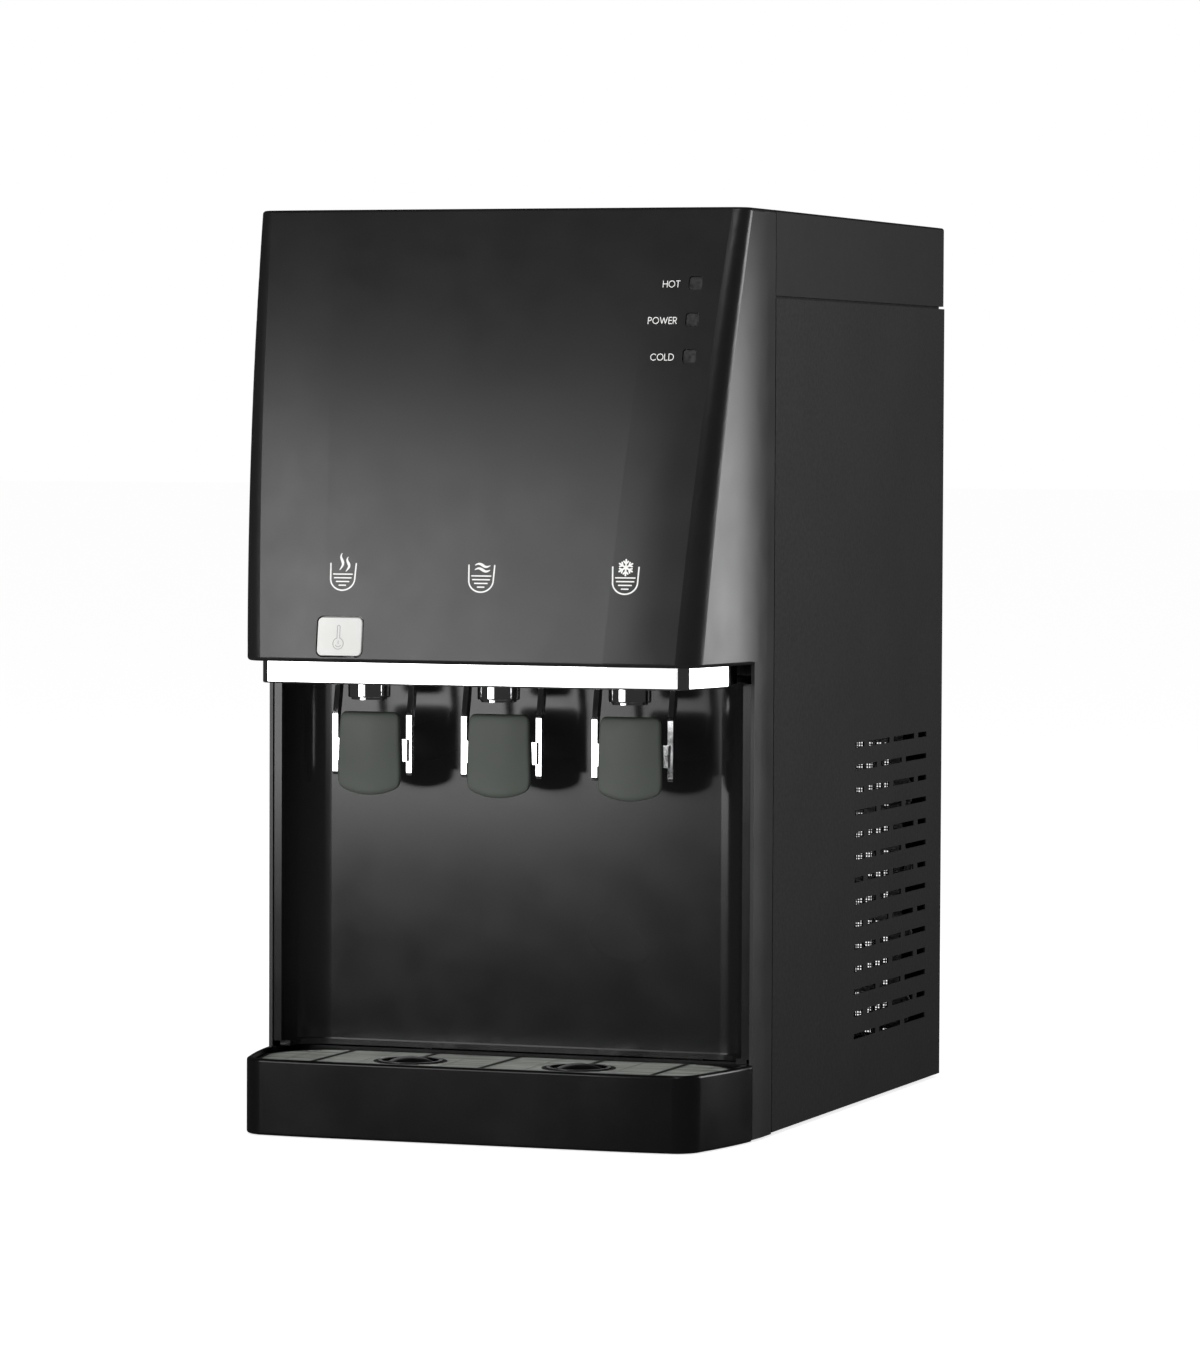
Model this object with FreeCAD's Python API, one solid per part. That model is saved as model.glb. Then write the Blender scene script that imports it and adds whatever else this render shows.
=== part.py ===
"""Countertop water dispenser with hot, ambient and cold taps, as an assembly of separate pieces.

Millimetres, +Z up, front towards -Y, +X to the right of someone who faces the front.
Shapes are drawn with Y = 0 on the seam between the front panel and the body. save() moves
them so that the origin is the centre of the footprint on the worktop.
"""
import FreeCAD
import Part
import math
import os

V = FreeCAD.Vector

# ---------------------------------------------------------------- driving dimensions
# Overall
WIDTH = 282.0            # outer width over the side panels
HEIGHT = 500.0           # worktop to the top of the cover
BODY_DEPTH = 325.0       # seam to the rear panel's outer face
FRONT_REACH = 100.0      # how far the fascia's lower edge and the tray stand out from the seam
HALF = WIDTH / 2

# Gaps and fits
SEAM = 0.8               # visible seam between neighbouring shells
SLIP = 0.4               # clearance round a part that lifts or slides out
PIN_FIT = 0.05           # radial clearance of a hinge pin
PRESS_FIT = 0.01         # radial clearance where a pin or a screw is held fast
OVERCUT = 1.0            # how far cutting tools run past the faces they cut
REST_GAP = 0.3           # clearance between curved faces of different moving parts

# Front panel: a leaning fascia above, two cheeks below
FASCIA_BOTTOM = 256.5
TOP_REACH = 49.0         # how far the fascia's upper edge stands out from the seam
BULGE = 5.7              # how far the leaning face bows out from a straight line
FASCIA_WALL = 2.5
CREASE_IN = (0.4, 11.4)  # crease, inwards from the side face, at the top and at the bottom
CREASE_BACK = (10.6, 13.5)   # crease, behind the front face, at the top and at the bottom
CORNER_IN = (9.0, 23.5)  # where the corner starts, inwards from the side face
BOW_LENGTH = 39.5        # length of the gently bowed stretch beside the corner
BOW_DEPTH = 2.0
FLANK_END = 12.0         # the flank becomes parallel to the side this far in front of the seam
FLANK_LEAD = 0.59
CORNER_PULL = 0.56
FASCIA_EDGE_R = 2.0      # rounding of the fascia's upper and lower edges
CHEEK_REACH = 30.5       # cheeks stand this far in front of the seam
CHEEK_WALL = 2.0
CHEEK_BOTTOM = 1.5

# Body shells
SHEET = 1.0
PANEL_BOTTOM = 2.2
COVER_HEIGHT = 46.0
COVER_BOTTOM = HEIGHT - COVER_HEIGHT
COVER_WALL = 2.5
COVER_GAP = 1.4          # shadow gap between the cover and the panels under it
COVER_LIP = 6.0          # lip on the side panels that stands up inside the cover
COVER_EDGE_R = 1.6
COVER_CORNER_R = 4.0
PANEL_FLANGE = 9.0
PANEL_TOP = COVER_BOTTOM - COVER_GAP
PANEL_REAR_GAP = 0.6     # side panels stop this far in front of the rear face
FOOT_HEIGHT = 5.0
FOOT_R = 11.0
FOOT_TAPER = 1.5         # the foot is this much slimmer where it meets the worktop
FOOT_STEM_R = 3.0
FOOT_INSET = 32.0        # feet inwards from the sides
FOOT_FRONT_Y = 26.0
FOOT_REAR_GAP = 52.0     # rear feet in front of the rear face
PAN_T = 1.2
PAN_RIM = 14.0

# Side vents: rows of slots laid like bricks
VENT_START = 151.0       # from the seam to the first slot
VENT_LENGTH = 141.0      # length of a row
VENT_SLOT = 41.6
VENT_BRIDGE = 8.1
VENT_ROWS = 14
VENT_PITCH = 12.66
VENT_LOW = 39.8          # centre of the lowest row
VENT_H = 3.0

# Dispensing bay
BAY_HALF = 133.3
BAY_BACK = 5.0           # splash back's face in front of the seam
BAY_CORNER_R = 20.0
SPLASH_T = 2.0
SPLASH_TOP = 246.0
COLUMN_FACE = 29.3       # front face of the columns, in front of the seam
COLUMN_BOTTOM = 44.5
SILL_BOTTOM = 41.6
SILL_REACH = 4.0

# Trim band and soffit
BAND_IN = 8.4            # band's face inwards from the fascia's outline
BAND_T = 2.0
BAND_BOTTOM = 244.5
BAND_HIDDEN = 1.8        # height of the band inside the fascia's lip
BAND_END = 34.0          # band's ends, in front of the seam
LIP_T = 2.5
SOFFIT_Z = 247.0
SOFFIT_T = 2.5

# Taps
TAP_PITCH = 75.0
TAPS = (("hot", -1), ("ambient", 0), ("cold", 1))
SPOUT_Y = -46.0
SPOUT_R = 11.5
SPOUT_NECK_R = 8.0
SPOUT_BORE_R = 6.0
SPOUT_BOTTOM = 235.8
SPOUT_EDGE_R = 0.8
TAP_BODY_HALF = 13.0
TAP_BODY_BOTTOM = 268.0
TAP_BODY_TOP = 300.0
TAP_FRONT = -60.0
TAP_REAR = -9.0
PIVOT_Y = -32.0
PIVOT_Z = 260.0
PIN_R = 1.5
LUG_T = 4.0
LUG_HALF = 5.0
ARM_OUTER = 23.05        # half the yoke's outer width
ARM_T = 3.0
ARM_D = 4.0
ARM_Y = -40.0            # centre of the arms' straight lower length
ARM_BOTTOM = 193.0
ARM_BEND = 226.0         # height at which the arms start to lean back
ARM_ROOM = 1.2           # room beside an arm where it passes the soffit
ARM_SWING = (9.5, 5.5)   # room in front of and behind the pivot's plane there
BAR_UP = 8.0             # bar that carries the paddle, above the arms' lower ends
BAR_H = 12.0
PADDLE_BEHIND = 2.0      # paddle's rear face in front of the arms
PADDLE_CORNER_R = 4.0
PADDLE_HALF_TOP = 17.3
PADDLE_HALF = 18.5
PADDLE_TOP = 228.0
PADDLE_BOTTOM = 182.0
PADDLE_SAG = 5.0         # how far the lower edge drops towards its middle
PADDLE_T = 3.0
PADDLE_CROWN = 1.6       # how far the face bows forward between its sides
CAM_REACH = 12.0         # pivot to the bar that lifts the plunger
CAM_R = 2.5
PLUNGER_R = 2.0
PLUNGER_HEAD_R = 3.6
PLUNGER_HEAD_T = 2.0
PLUNGER_BORE_R = 4.2
PLUNGER_TOP = 290.0
PLUNGER_STROKE = 2.6
SPRING_DEPTH = 13.0      # the valve spring's bore above the tap body's underside
VALVE_SPRING = (3.1, 0.5, 7)     # mean radius, half the wire's rise and number of turns
BUTTON_SPRING = (3.4, 0.5, 6)

# Hot water safety button
BUTTON_X = -71.4
BUTTON_Z = 270.4
BUTTON_W = 25.4
BUTTON_H = 20.5
BUTTON_R = 2.8
BUTTON_GAP = 0.9
BUTTON_PROUD = 0.5
BUTTON_CAP = 3.6
BUTTON_FLANGE = 1.6
BUTTON_STROKE = 2.5
BUTTON_EDGE_R = 0.45
BUTTON_STEM = 6.0
BUTTON_STEM_R = 2.5
SWITCH_BODY = (10.0, 8.0, 6.0)   # safety switch: half width, depth, half height
SWITCH_LEG = (0.6, 4.0, 2.0)

# Indicator lights
LIGHT_X = 115.5
LIGHT_Z = (459.4, 440.0, 420.6)
LIGHT_SIZE = 7.2
LIGHT_R = 1.7
LIGHT_SUNK = 0.7
LIGHT_FLANGE = 2.0       # the lens reaches this far behind the fascia's wall
LIGHT_RIM = 1.2
LED_R = 2.5
LED_H = 5.0
BOARD_T = 1.6            # both circuit boards
INDICATOR_DEPTH = 16.0   # board behind the uppermost lens

# Drip tray and grille
TRAY_BOTTOM = 0.5
TRAY_TOP = 41.7
TRAY_WALL = 3.2
TRAY_LEDGE = 2.0
TRAY_LEDGE_Z = 32.0
TRAY_FLOOR = 2.5
TRAY_REAR = 7.0          # tray's rear face in front of the seam
TRAY_EDGE_R = 1.5
GRILLE_TOP = 39.0
GRILLE_REAR_R = 40.0
GRILLE_SIDE = 6.5        # grille's widest point inwards from the side face
GRILLE_RIM = 1.6
RIB_T = 2.4
RIB_SPACING = 48.5
SLAT_PITCH = 4.6
SLAT_W = 3.2
SLAT_T = 1.4
SPINE_HALF = 1.0         # half the width of each insert's middle bar
SLAT_START = 4.6         # first slat behind the tray's front wall
SEAT_W = 3.2             # width of the ledge that carries the slats
CROSS_BARS = (-30.0, -74.0)
CROSS_HALF = 1.5
RIB_UP = 2.0             # ribs start this far above the tray's ledge
DOME_R = 18.0
DOME_WALL = 2.0          # ring round each dome
DOME_DISC_R = 11.5
DOME_BALL_R = 28.0
DOME_CROWN = 2.4         # dome's middle above the grille
DOME_SPOKES = 12
SPOKE_HALF = 0.6
DOME_Y = -51.0

# Cooling and heating inside
SHELF_Z = 212.0          # shelf lies above the side vents
SHELF_FOLD = 14.0
SHELF_FRONT = 10.0       # shelf reaches this far in front of the bulkhead
SHELF_REAR_GAP = 5.0
HOT_TANK = (-80.0, 200.0, 42.0, 172.0)      # x, y, radius, height
COLD_TANK = (62.0, 190.0, 58.0, 165.0)
FOAM_T = 15.0
BULKHEAD_Y = 30.0
CONTROL_BOARD = (62.0, 352.0, 432.0)        # half width, lower and upper edge
POST_LENGTH = 6.4
POST_R = 3.0
POST_IN = 5.0
BOARD_PARTS = (          # x, height above the board's lower edge, width, depth, height
    (-40, 48, 24, 24, 26),
    (-4, 50, 18, 16, 20),
    (34, 44, 13, 20, 16),
    (-44, 12, 14, 14, 12),
    (0, 14, 32, 9, 12),
    (44, 16, 10, 12, 18),
)
TUBE_BEND_Y = 60.0
TUBE_R = 4.0
TUBE_WALL = 1.0
PORT_R = TUBE_R + 1.5    # tank's feed pipe, which the water tube pushes into
TUBE_PUSH = 2.0          # the tube's end stays this far off the tank
TUBE_Z = 285.0
COMPRESSOR = (-70.0, 190.0, 56.0, 132.0)
COMPRESSOR_SEAM_H = 6.0
COMPRESSOR_SEAM_UP = 72.6
COMPRESSOR_PLATE = (52.0, 62.0, 3.0)        # half width, half depth, thickness
TERMINAL_COVER = (14.0, 18.0, 40.0, 44.0)   # depth, half width, height above the plate, height
MOUNT_X, MOUNT_Y = 44.0, 54.0
MOUNT_R, MOUNT_H = 9.0, 8.0
MOUNT_NECK_R = 4.9
MOUNT_NECK_H = 4.0
MOUNT_BORE_R = 2.5
TANK_T = 1.0
DISH = 0.22              # rounding of a vessel's ends, as a share of its radius
TANK_SKIRT_H = 4.0       # hot tank's end above the shelf
HEATER_R = 5.0
HEATER_X = 18.0
HEATER_OUT = 18.0
FOAM_CORNER_R = 14.0
REAR_WINDOW = (-16.0, 108.5, 24.5, 206.0)   # x and z limits of the rear panel's opening
WINDOW_R = 4.0
CONDENSER_Y = BODY_DEPTH - 7.0
CONDENSER_ROWS = 9
CONDENSER_INSET = 6.0    # outer rows inside the window
CONDENSER_END = 4.0      # the straight rows run this far past the window's sides
STRAP_W = 8.0
STRAP_PAST = 8.0         # straps and wires run this far past the outer rows
CLIP_W = 3.0
CLIP_HALF = 2.0
CONDENSER_TUBE_R = 2.4
CONDENSER_WIRE_R = 0.7
CONDENSER_WIRE_PITCH = 6.0
FAN_X = 45.0
FAN_Z = 100.0
FAN_SIZE = 90.0
FAN_DEPTH = 25.0
FAN_Y = BODY_DEPTH - 69.0
FAN_WALL = 2.5
FAN_CORNER_R = 5.0
FAN_HUB_R = 15.0
FAN_SHAFT_R = 1.5
FAN_MOTOR_T = 4.0
FAN_STRUTS = 4
STRUT_HALF = 1.5
STRUT_T = 3.0
FAN_FOOT_HALF = 30.0
BLADES = 7
BLADE_T = 1.6
BLADE_W = 15.0
BLADE_PITCH = 40.0
BLADE_GAP = 5.0          # blade tips inside the frame's outer size

# Rear services
INLET_X = -25.0
INLET_BORE_R = 3.25      # takes a quarter-inch tube
INLET_R = 7.5
INLET_OUT = 18.0         # how far the inlet fitting stands behind the body
INLET_STOP = 5.0         # inner tube's end in front of the rear face
INLET_IN = 12.0
INLET_NUT = (11.0, 5.0)  # half width and thickness
INLET_LOCK = (10.0, 4.0)
INLET_EDGE_R = 1.2
DRAIN_Z = 252.0
DRAIN_R = 6.0
DRAIN_PIPE_R = 5.0
DRAIN_BORE_R = 3.5
DRAIN_OUT = 6.0
DRAIN_IN = 22.0          # bushing's inner end in front of the rear face
BUSH_SOCKET = 18.0       # the pipe's end stays this far in front of the rear face
BUSH_FLANGE_R = 11.0
BUSH_NUT = (10.0, 4.0)   # radius and thickness
PLUG_R = 8.5
PLUG_T = 8.0
PLUG_EDGE_R = 1.0
PLUG_DEPTH = 10.0        # plug's stem inside the bushing
PLUG_GRIPS = 12
PLUG_GRIP_R = 1.1
SOCKET_X = -100.0
SOCKET_Z = 48.0
SWITCH_Z = 96.0
SWITCH_PITCH = 34.0
SWITCH_TILT = 9.0
SOCKET_HALF = (13.8, 10.4)
SOCKET_BACK = 24.0
SOCKET_DEEP = 16.0
SOCKET_WALL = 1.8
SOCKET_CORNER_R = 2.5
PIN_SIZE = (1.0, 2.0, 14.0)      # half thickness, half height and length of a mains pin
PIN_PLACES = ((-7.0, -2.0), (0.0, 2.5), (7.0, -2.0))
TAB_SIZE = (0.4, 3.0, 10.0)      # half thickness, half width and length of a push-on tab
SWITCH_HALF = (11.0, 14.0)
SWITCH_BACK = 16.0
SWITCH_WELL = (8.0, 11.8, 12.0)  # half width, half height and depth
SWITCH_TAB = 8.0
SWITCH_PITCH_TABS = 7.0
ROCKER_HALF = (7.6, 10.4)
ROCKER_TRUNNION = 9.0
REAR_FLANGE = 2.0
FLANGE_W = 3.0
SWITCH_RIM = 1.8
SCREW_R = 2.0
SCREW_HEAD_R = 3.6
SCREW_HEAD_T = 1.6
SCREW_LENGTH = 5.0
SCREW_UP = 12.0          # cover screws above the cover's lower edge, panel screws below it

ORIGIN_Y = (FRONT_REACH - BODY_DEPTH - INLET_OUT) / 2


# ---------------------------------------------------------------- helpers
def box(x0, x1, y0, y1, z0, z1):
    return Part.makeBox(x1 - x0, y1 - y0, z1 - z0, V(x0, y0, z0))


def rod(radius, start, end):
    start = V(*start)
    along = V(*end) - start
    return Part.makeCylinder(radius, along.Length, start, along)


def tube(outer, inner, start, end):
    return rod(outer, start, end).cut(rod(inner, start, end))


def join(*shapes):
    return shapes[0].multiFuse(list(shapes[1:])).removeSplitter()


def upright(wire, z0, z1):
    """Solid between two heights over a flat outline."""
    face = Part.Face(wire)
    face.translate(V(0, 0, z0))
    return face.extrude(V(0, 0, z1 - z0))


def rounded_box(x0, x1, y0, y1, z0, z1, radius, axis="z"):
    """Box with its four edges along one axis rounded."""
    block = box(x0, x1, y0, y1, z0, z1)
    along = {"x": V(1, 0, 0), "y": V(0, 1, 0), "z": V(0, 0, 1)}[axis]
    edges = [e for e in block.Edges if abs(e.tangentAt(e.FirstParameter).dot(along)) > 0.99]
    return block.makeFillet(radius, edges)


def mirrored(shape):
    return shape.mirror(V(0, 0, 0), V(1, 0, 0))


def spring(radius, wire_r, turns, start, end):
    """Stand-in for a coil spring: a ribbed sleeve turned about the spring's axis."""
    start = V(*start)
    along = V(*end) - start
    step = along.Length / turns
    inner = radius - wire_r
    points = [V(inner, 0, 0)]
    for turn in range(turns):
        points.append(V(radius + wire_r, 0, step * (turn + 0.5)))
        points.append(V(radius, 0, step * (turn + 1)))
    points.append(V(inner, 0, along.Length))
    points.append(points[0])
    coil = Part.Face(Part.makePolygon(points)).revolve(V(0, 0, 0), V(0, 0, 1), 360)
    coil.Placement = FreeCAD.Placement(start, FreeCAD.Rotation(V(0, 0, 1), along))
    return coil


PIECES = {}


def save(name, shape):
    """Keep one node: its solids, moved so that the footprint's centre is the origin."""
    moved = shape.copy()
    moved.translate(V(0, ORIGIN_Y, 0))
    if not moved.isValid() or not moved.Solids:
        raise ValueError(name + " is not a sound solid")
    PIECES[name] = moved


# ---------------------------------------------------------------- plan outline of the front
def blend(pair, share):
    return pair[0] + (pair[1] - pair[0]) * share


def reach(share):
    """How far the front face stands out, at a share of the way down the fascia."""
    return blend((TOP_REACH, FRONT_REACH), share) + 4 * BULGE * share * (1 - share)


def share_down(z):
    return (HEIGHT - z) / (HEIGHT - FASCIA_BOTTOM)


def meet(p, along_p, q, along_q):
    """Point where two lines in the plan cross."""
    cross = along_p.x * along_q.y - along_p.y * along_q.x
    step = ((q.x - p.x) * along_q.y - (q.y - p.y) * along_q.x) / cross
    return p + along_p * step


def curve(*poles):
    made = Part.BezierCurve()
    made.setPoles(list(poles))
    return made.toShape()


def outline(share=1.0, inset=0.0, rear=0.0, z=0.0):
    """Closed plan outline of the front, moved inwards by inset and closed at Y = rear."""
    face = -reach(share)
    crease = V(HALF - blend(CREASE_IN, share), face + blend(CREASE_BACK, share), 0)
    lead = V(HALF, crease.y + FLANK_LEAD * (-FLANK_END - crease.y), 0)
    corner = V(HALF - blend(CORNER_IN, share), face + BOW_DEPTH, 0)
    bow_mid = V(corner.x - BOW_LENGTH / 2, face, 0)
    flank_way = (lead - crease).normalize()
    bow_way = (corner - bow_mid).normalize()
    crease += V(-flank_way.y, flank_way.x, 0) * inset
    corner += V(-bow_way.y, bow_way.x, 0) * inset
    lead.x -= inset
    bow_mid.y += inset
    bow_start = V(bow_mid.x - BOW_LENGTH / 2, face + inset, 0)
    flank_end = V(HALF - inset, -FLANK_END, 0)
    tip = meet(corner, bow_way, crease, flank_way)
    half = [
        curve(bow_start, bow_mid, corner),
        curve(corner, corner + (tip - corner) * CORNER_PULL, crease + (tip - crease) * CORNER_PULL, crease),
        curve(crease, lead, flank_end),
        Part.LineSegment(flank_end, V(HALF - inset, rear, 0)).toShape(),
    ]
    other = [mirrored(e) for e in half]
    front = Part.LineSegment(V(-bow_start.x, bow_start.y, 0), bow_start).toShape()
    back = Part.LineSegment(V(HALF - inset, rear, 0), V(inset - HALF, rear, 0)).toShape()
    wire = Part.Wire(Part.__sortEdges__([front] + half + [back] + other))
    wire.translate(V(0, 0, z))
    return wire


def face_place(x, z):
    """Point on the fascia's leaning face, and its lean back in degrees."""
    share = share_down(z)
    step = 0.01
    slope = (reach(share + step) - reach(share - step)) / (2 * step) / (HEIGHT - FASCIA_BOTTOM)
    past = max(0.0, abs(x) - (HALF - blend(CORNER_IN, share) - BOW_LENGTH)) / BOW_LENGTH
    return V(x, -reach(share) + BOW_DEPTH * past ** 2, z), math.degrees(math.atan(slope))


def on_face(shape, x, z):
    """Seat a shape drawn with +Y into the face and +Z up it on the leaning face."""
    point, lean = face_place(x, z)
    placed = shape.copy()
    placed.rotate(V(0, 0, 0), V(1, 0, 0), -lean)
    placed.translate(point)
    return placed


def front_slab(inset, cut_y, z0, z1):
    """The outline's part in front of Y = cut_y, between two heights."""
    slab = upright(outline(1, inset), z0, z1)
    return slab.common(box(-HALF - 1, HALF + 1, -FRONT_REACH - 1, cut_y, z0, z1))


# ---------------------------------------------------------------- shells
def fascia_block(inset, low, high, rear):
    steps = 6
    heights = [high + (low - high) * n / steps for n in range(steps + 1)]
    wires = [outline(share_down(z), inset, rear, z) for z in heights]
    return Part.makeLoft(wires, True, False)


def front_panel():
    outer = fascia_block(0, FASCIA_BOTTOM, HEIGHT, -SEAM / 2)
    rims = []
    for edge in outer.Edges:
        low = edge.BoundBox.ZMin
        flat = edge.BoundBox.ZLength < 0.01
        at_an_end = low > HEIGHT - 1 or low < FASCIA_BOTTOM + 1
        if flat and at_an_end and edge.BoundBox.YMax < -FLANK_END + 0.01:
            rims.append(edge)
    outer = outer.makeFillet(FASCIA_EDGE_R, rims)
    hollow = fascia_block(FASCIA_WALL, FASCIA_BOTTOM + LIP_T, HEIGHT - FASCIA_WALL, SEAM)
    mouth = upright(outline(1, BAND_IN - SLIP / 2, SEAM), FASCIA_BOTTOM - 1, FASCIA_BOTTOM + LIP_T + 1)
    cheeks = upright(outline(1, 0, -SEAM / 2), CHEEK_BOTTOM, FASCIA_BOTTOM + LIP_T)
    inside = upright(outline(1, CHEEK_WALL, SEAM), 0, FASCIA_BOTTOM + LIP_T + 1)
    ahead = box(-HALF - 1, HALF + 1, -FRONT_REACH - 1, -CHEEK_REACH, 0, FASCIA_BOTTOM + LIP_T + 1)
    cheeks = cheeks.cut(inside).cut(ahead)
    panel = outer.cut(hollow).cut(mouth).fuse(cheeks)
    panel = panel.cut(face_hole(BUTTON_W / 2 + BUTTON_GAP, BUTTON_H / 2 + BUTTON_GAP,
                                BUTTON_R + BUTTON_GAP, BUTTON_X, BUTTON_Z))
    half = LIGHT_SIZE / 2 + SLIP / 2
    for z in LIGHT_Z:
        panel = panel.cut(face_hole(half, half, LIGHT_R, LIGHT_X, z))
    return panel.removeSplitter()


def face_hole(half_w, half_h, radius, x, z):
    """Cutting tool for a rounded window through the leaning wall."""
    deep = 2 * FASCIA_WALL
    return on_face(rounded_box(-half_w, half_w, -deep, deep, -half_h, half_h, radius, "y"), x, z)


def top_cover():
    block = rounded_box(-HALF, HALF, SEAM / 2, BODY_DEPTH, COVER_BOTTOM, HEIGHT, COVER_CORNER_R)
    front = box(-HALF, HALF, SEAM / 2, COVER_CORNER_R + 1, COVER_BOTTOM, HEIGHT)
    block = block.fuse(front).removeSplitter()
    top = [e for e in block.Edges if e.BoundBox.ZMin > HEIGHT - 0.01 and e.BoundBox.YMax > SEAM]
    block = block.makeFillet(COVER_EDGE_R, top)
    hollow = box(-HALF + COVER_WALL, HALF - COVER_WALL, -1, BODY_DEPTH - COVER_WALL,
                 COVER_BOTTOM - 1, HEIGHT - COVER_WALL)
    cover = block.cut(hollow)
    for x in cover_screw_places():
        cover = cover.cut(rear_rod(x, COVER_BOTTOM + SCREW_UP, SCREW_R))
    return cover


def cover_screw_places():
    return (-HALF + 40, HALF - 40)


def vent_slots(x0, x1):
    """Brick-laid slots, as one cutting tool through a side panel."""
    step = VENT_SLOT + VENT_BRIDGE
    slots = []
    for row in range(VENT_ROWS):
        z = VENT_LOW + row * VENT_PITCH
        shift = 0 if row % 2 == 0 else -step / 2
        y = VENT_START + shift
        while y < VENT_START + VENT_LENGTH:
            low = max(y, VENT_START)
            high = min(y + VENT_SLOT, VENT_START + VENT_LENGTH)
            if high - low > VENT_H:
                slots.append(box(x0, x1, low, high, z - VENT_H / 2, z + VENT_H / 2))
            y += step
    return Part.makeCompound(slots)


def side_panel():
    """Right-hand panel: a sheet folded inwards all round, with a lip that stands up inside the cover."""
    front = SEAM
    rear = BODY_DEPTH - PANEL_REAR_GAP
    inner = HALF - PANEL_FLANGE
    skin = rounded_box(inner, HALF, front, rear, PANEL_BOTTOM, PANEL_TOP, SHEET * 0.8, "z")
    skin = skin.common(box(inner + SHEET, HALF, front, rear, PANEL_BOTTOM, PANEL_TOP))
    hollow = box(inner - OVERCUT, HALF - SHEET, front + SHEET, rear - SHEET,
                 PANEL_BOTTOM + SHEET, PANEL_TOP - SHEET)
    lip_x = HALF - COVER_WALL - SLIP
    lip_rear = BODY_DEPTH - COVER_WALL - SLIP
    lip = box(lip_x - SHEET, lip_x, front + SHEET, lip_rear, PANEL_TOP - SHEET, PANEL_TOP + COVER_LIP)
    return join(skin.cut(hollow), lip).cut(vent_slots(HALF - SHEET - OVERCUT, HALF + OVERCUT))


def rear_panel():
    x = HALF - PANEL_FLANGE - SLIP
    panel = box(-x, x, BODY_DEPTH - SHEET, BODY_DEPTH, FOOT_HEIGHT + PAN_T + OVERCUT, PANEL_TOP)
    x0, x1, z0, z1 = REAR_WINDOW
    panel = panel.cut(rounded_box(x0, x1, BODY_DEPTH - SHEET - OVERCUT, BODY_DEPTH + OVERCUT, z0, z1,
                                  WINDOW_R, "y"))
    panel = panel.cut(rear_rod(INLET_X, TUBE_Z, INLET_R + SLIP))
    for x in drain_places():
        panel = panel.cut(rear_rod(x, DRAIN_Z, DRAIN_R + SLIP))
    panel = panel.cut(rear_window(SOCKET_X, SOCKET_Z, SOCKET_HALF[0] + SLIP, SOCKET_HALF[1] + SLIP))
    for z in switch_places():
        panel = panel.cut(rear_window(SOCKET_X, z, SWITCH_HALF[0] + SLIP, SWITCH_HALF[1] + SLIP))
    for x, z in rear_screw_places():
        panel = panel.cut(rear_rod(x, z, SCREW_R + PRESS_FIT))
    return panel


def rear_rod(x, z, radius):
    """Cutting tool for a round hole through the rear sheets."""
    deep = SCREW_LENGTH + OVERCUT
    return rod(radius, (x, BODY_DEPTH - deep, z), (x, BODY_DEPTH + deep, z))


def rear_window(x, z, half_w, half_h):
    """Cutting tool for a square hole through the rear panel."""
    inside = BODY_DEPTH - SHEET - OVERCUT
    return box(x - half_w, x + half_w, inside, BODY_DEPTH + OVERCUT, z - half_h, z + half_h)


def rear_screw_places():
    x = HALF - PANEL_FLANGE - 2 * SCREW_HEAD_R
    heights = (FOOT_HEIGHT + PAN_RIM - SCREW_HEAD_R, SHELF_Z + SCREW_UP, COVER_BOTTOM - SCREW_UP)
    return [(side * x, z) for side in (-1, 1) for z in heights]


def rear_screws():
    """Screws through the rear panel and through the cover's rear wall."""
    places = rear_screw_places() + [(x, COVER_BOTTOM + SCREW_UP) for x in cover_screw_places()]
    screws = []
    for x, z in places:
        head = rod(SCREW_HEAD_R, (x, BODY_DEPTH, z), (x, BODY_DEPTH + SCREW_HEAD_T, z))
        shank = rod(SCREW_R - PRESS_FIT, (x, BODY_DEPTH - SCREW_LENGTH, z), (x, BODY_DEPTH, z))
        screws.append(head.fuse(shank).removeSplitter())
    return Part.makeCompound(screws)


def base_pan():
    x = HALF - SHEET - SLIP
    z0 = FOOT_HEIGHT
    front = SEAM + SHEET + 0.2
    rear = BODY_DEPTH - SHEET - SLIP
    above = z0 + PAN_RIM + OVERCUT
    pan = box(-x, x, front, rear, z0, z0 + PAN_RIM)
    pan = pan.cut(box(-x + PAN_T, x - PAN_T, front + PAN_T, rear - PAN_T, z0 + PAN_T, above))
    corner = PANEL_FLANGE + SLIP
    for side in (-1, 1):
        x0, x1 = sorted((side * HALF, side * (HALF - corner)))
        for y0, y1 in ((0, front + corner), (rear - corner, BODY_DEPTH)):
            pan = pan.cut(box(x0, x1, y0, y1, z0 - OVERCUT, above))
    for x, z in rear_screw_places():
        pan = pan.cut(rear_rod(x, z, SCREW_R))
    for x, y in foot_places():
        pan = pan.cut(rod(FOOT_STEM_R, (x, y, z0 - OVERCUT), (x, y, z0 + PAN_T + OVERCUT)))
    return pan


def foot_places():
    x = HALF - FOOT_INSET
    return [(side * x, y) for y in (FOOT_FRONT_Y, BODY_DEPTH - FOOT_REAR_GAP) for side in (-1, 1)]


def feet():
    pads = []
    for x, y in foot_places():
        pad = Part.makeCone(FOOT_R - FOOT_TAPER, FOOT_R, FOOT_HEIGHT, V(x, y, 0))
        stem = rod(FOOT_STEM_R - PIN_FIT, (x, y, FOOT_HEIGHT), (x, y, FOOT_HEIGHT + PAN_T))
        top = V(x, y, FOOT_HEIGHT + PAN_T)
        barb = Part.makeCone(FOOT_STEM_R * 1.45, FOOT_STEM_R * 0.85, FOOT_STEM_R, top)
        pads.append(join(pad, stem, barb))
    return Part.makeCompound(pads)


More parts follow.
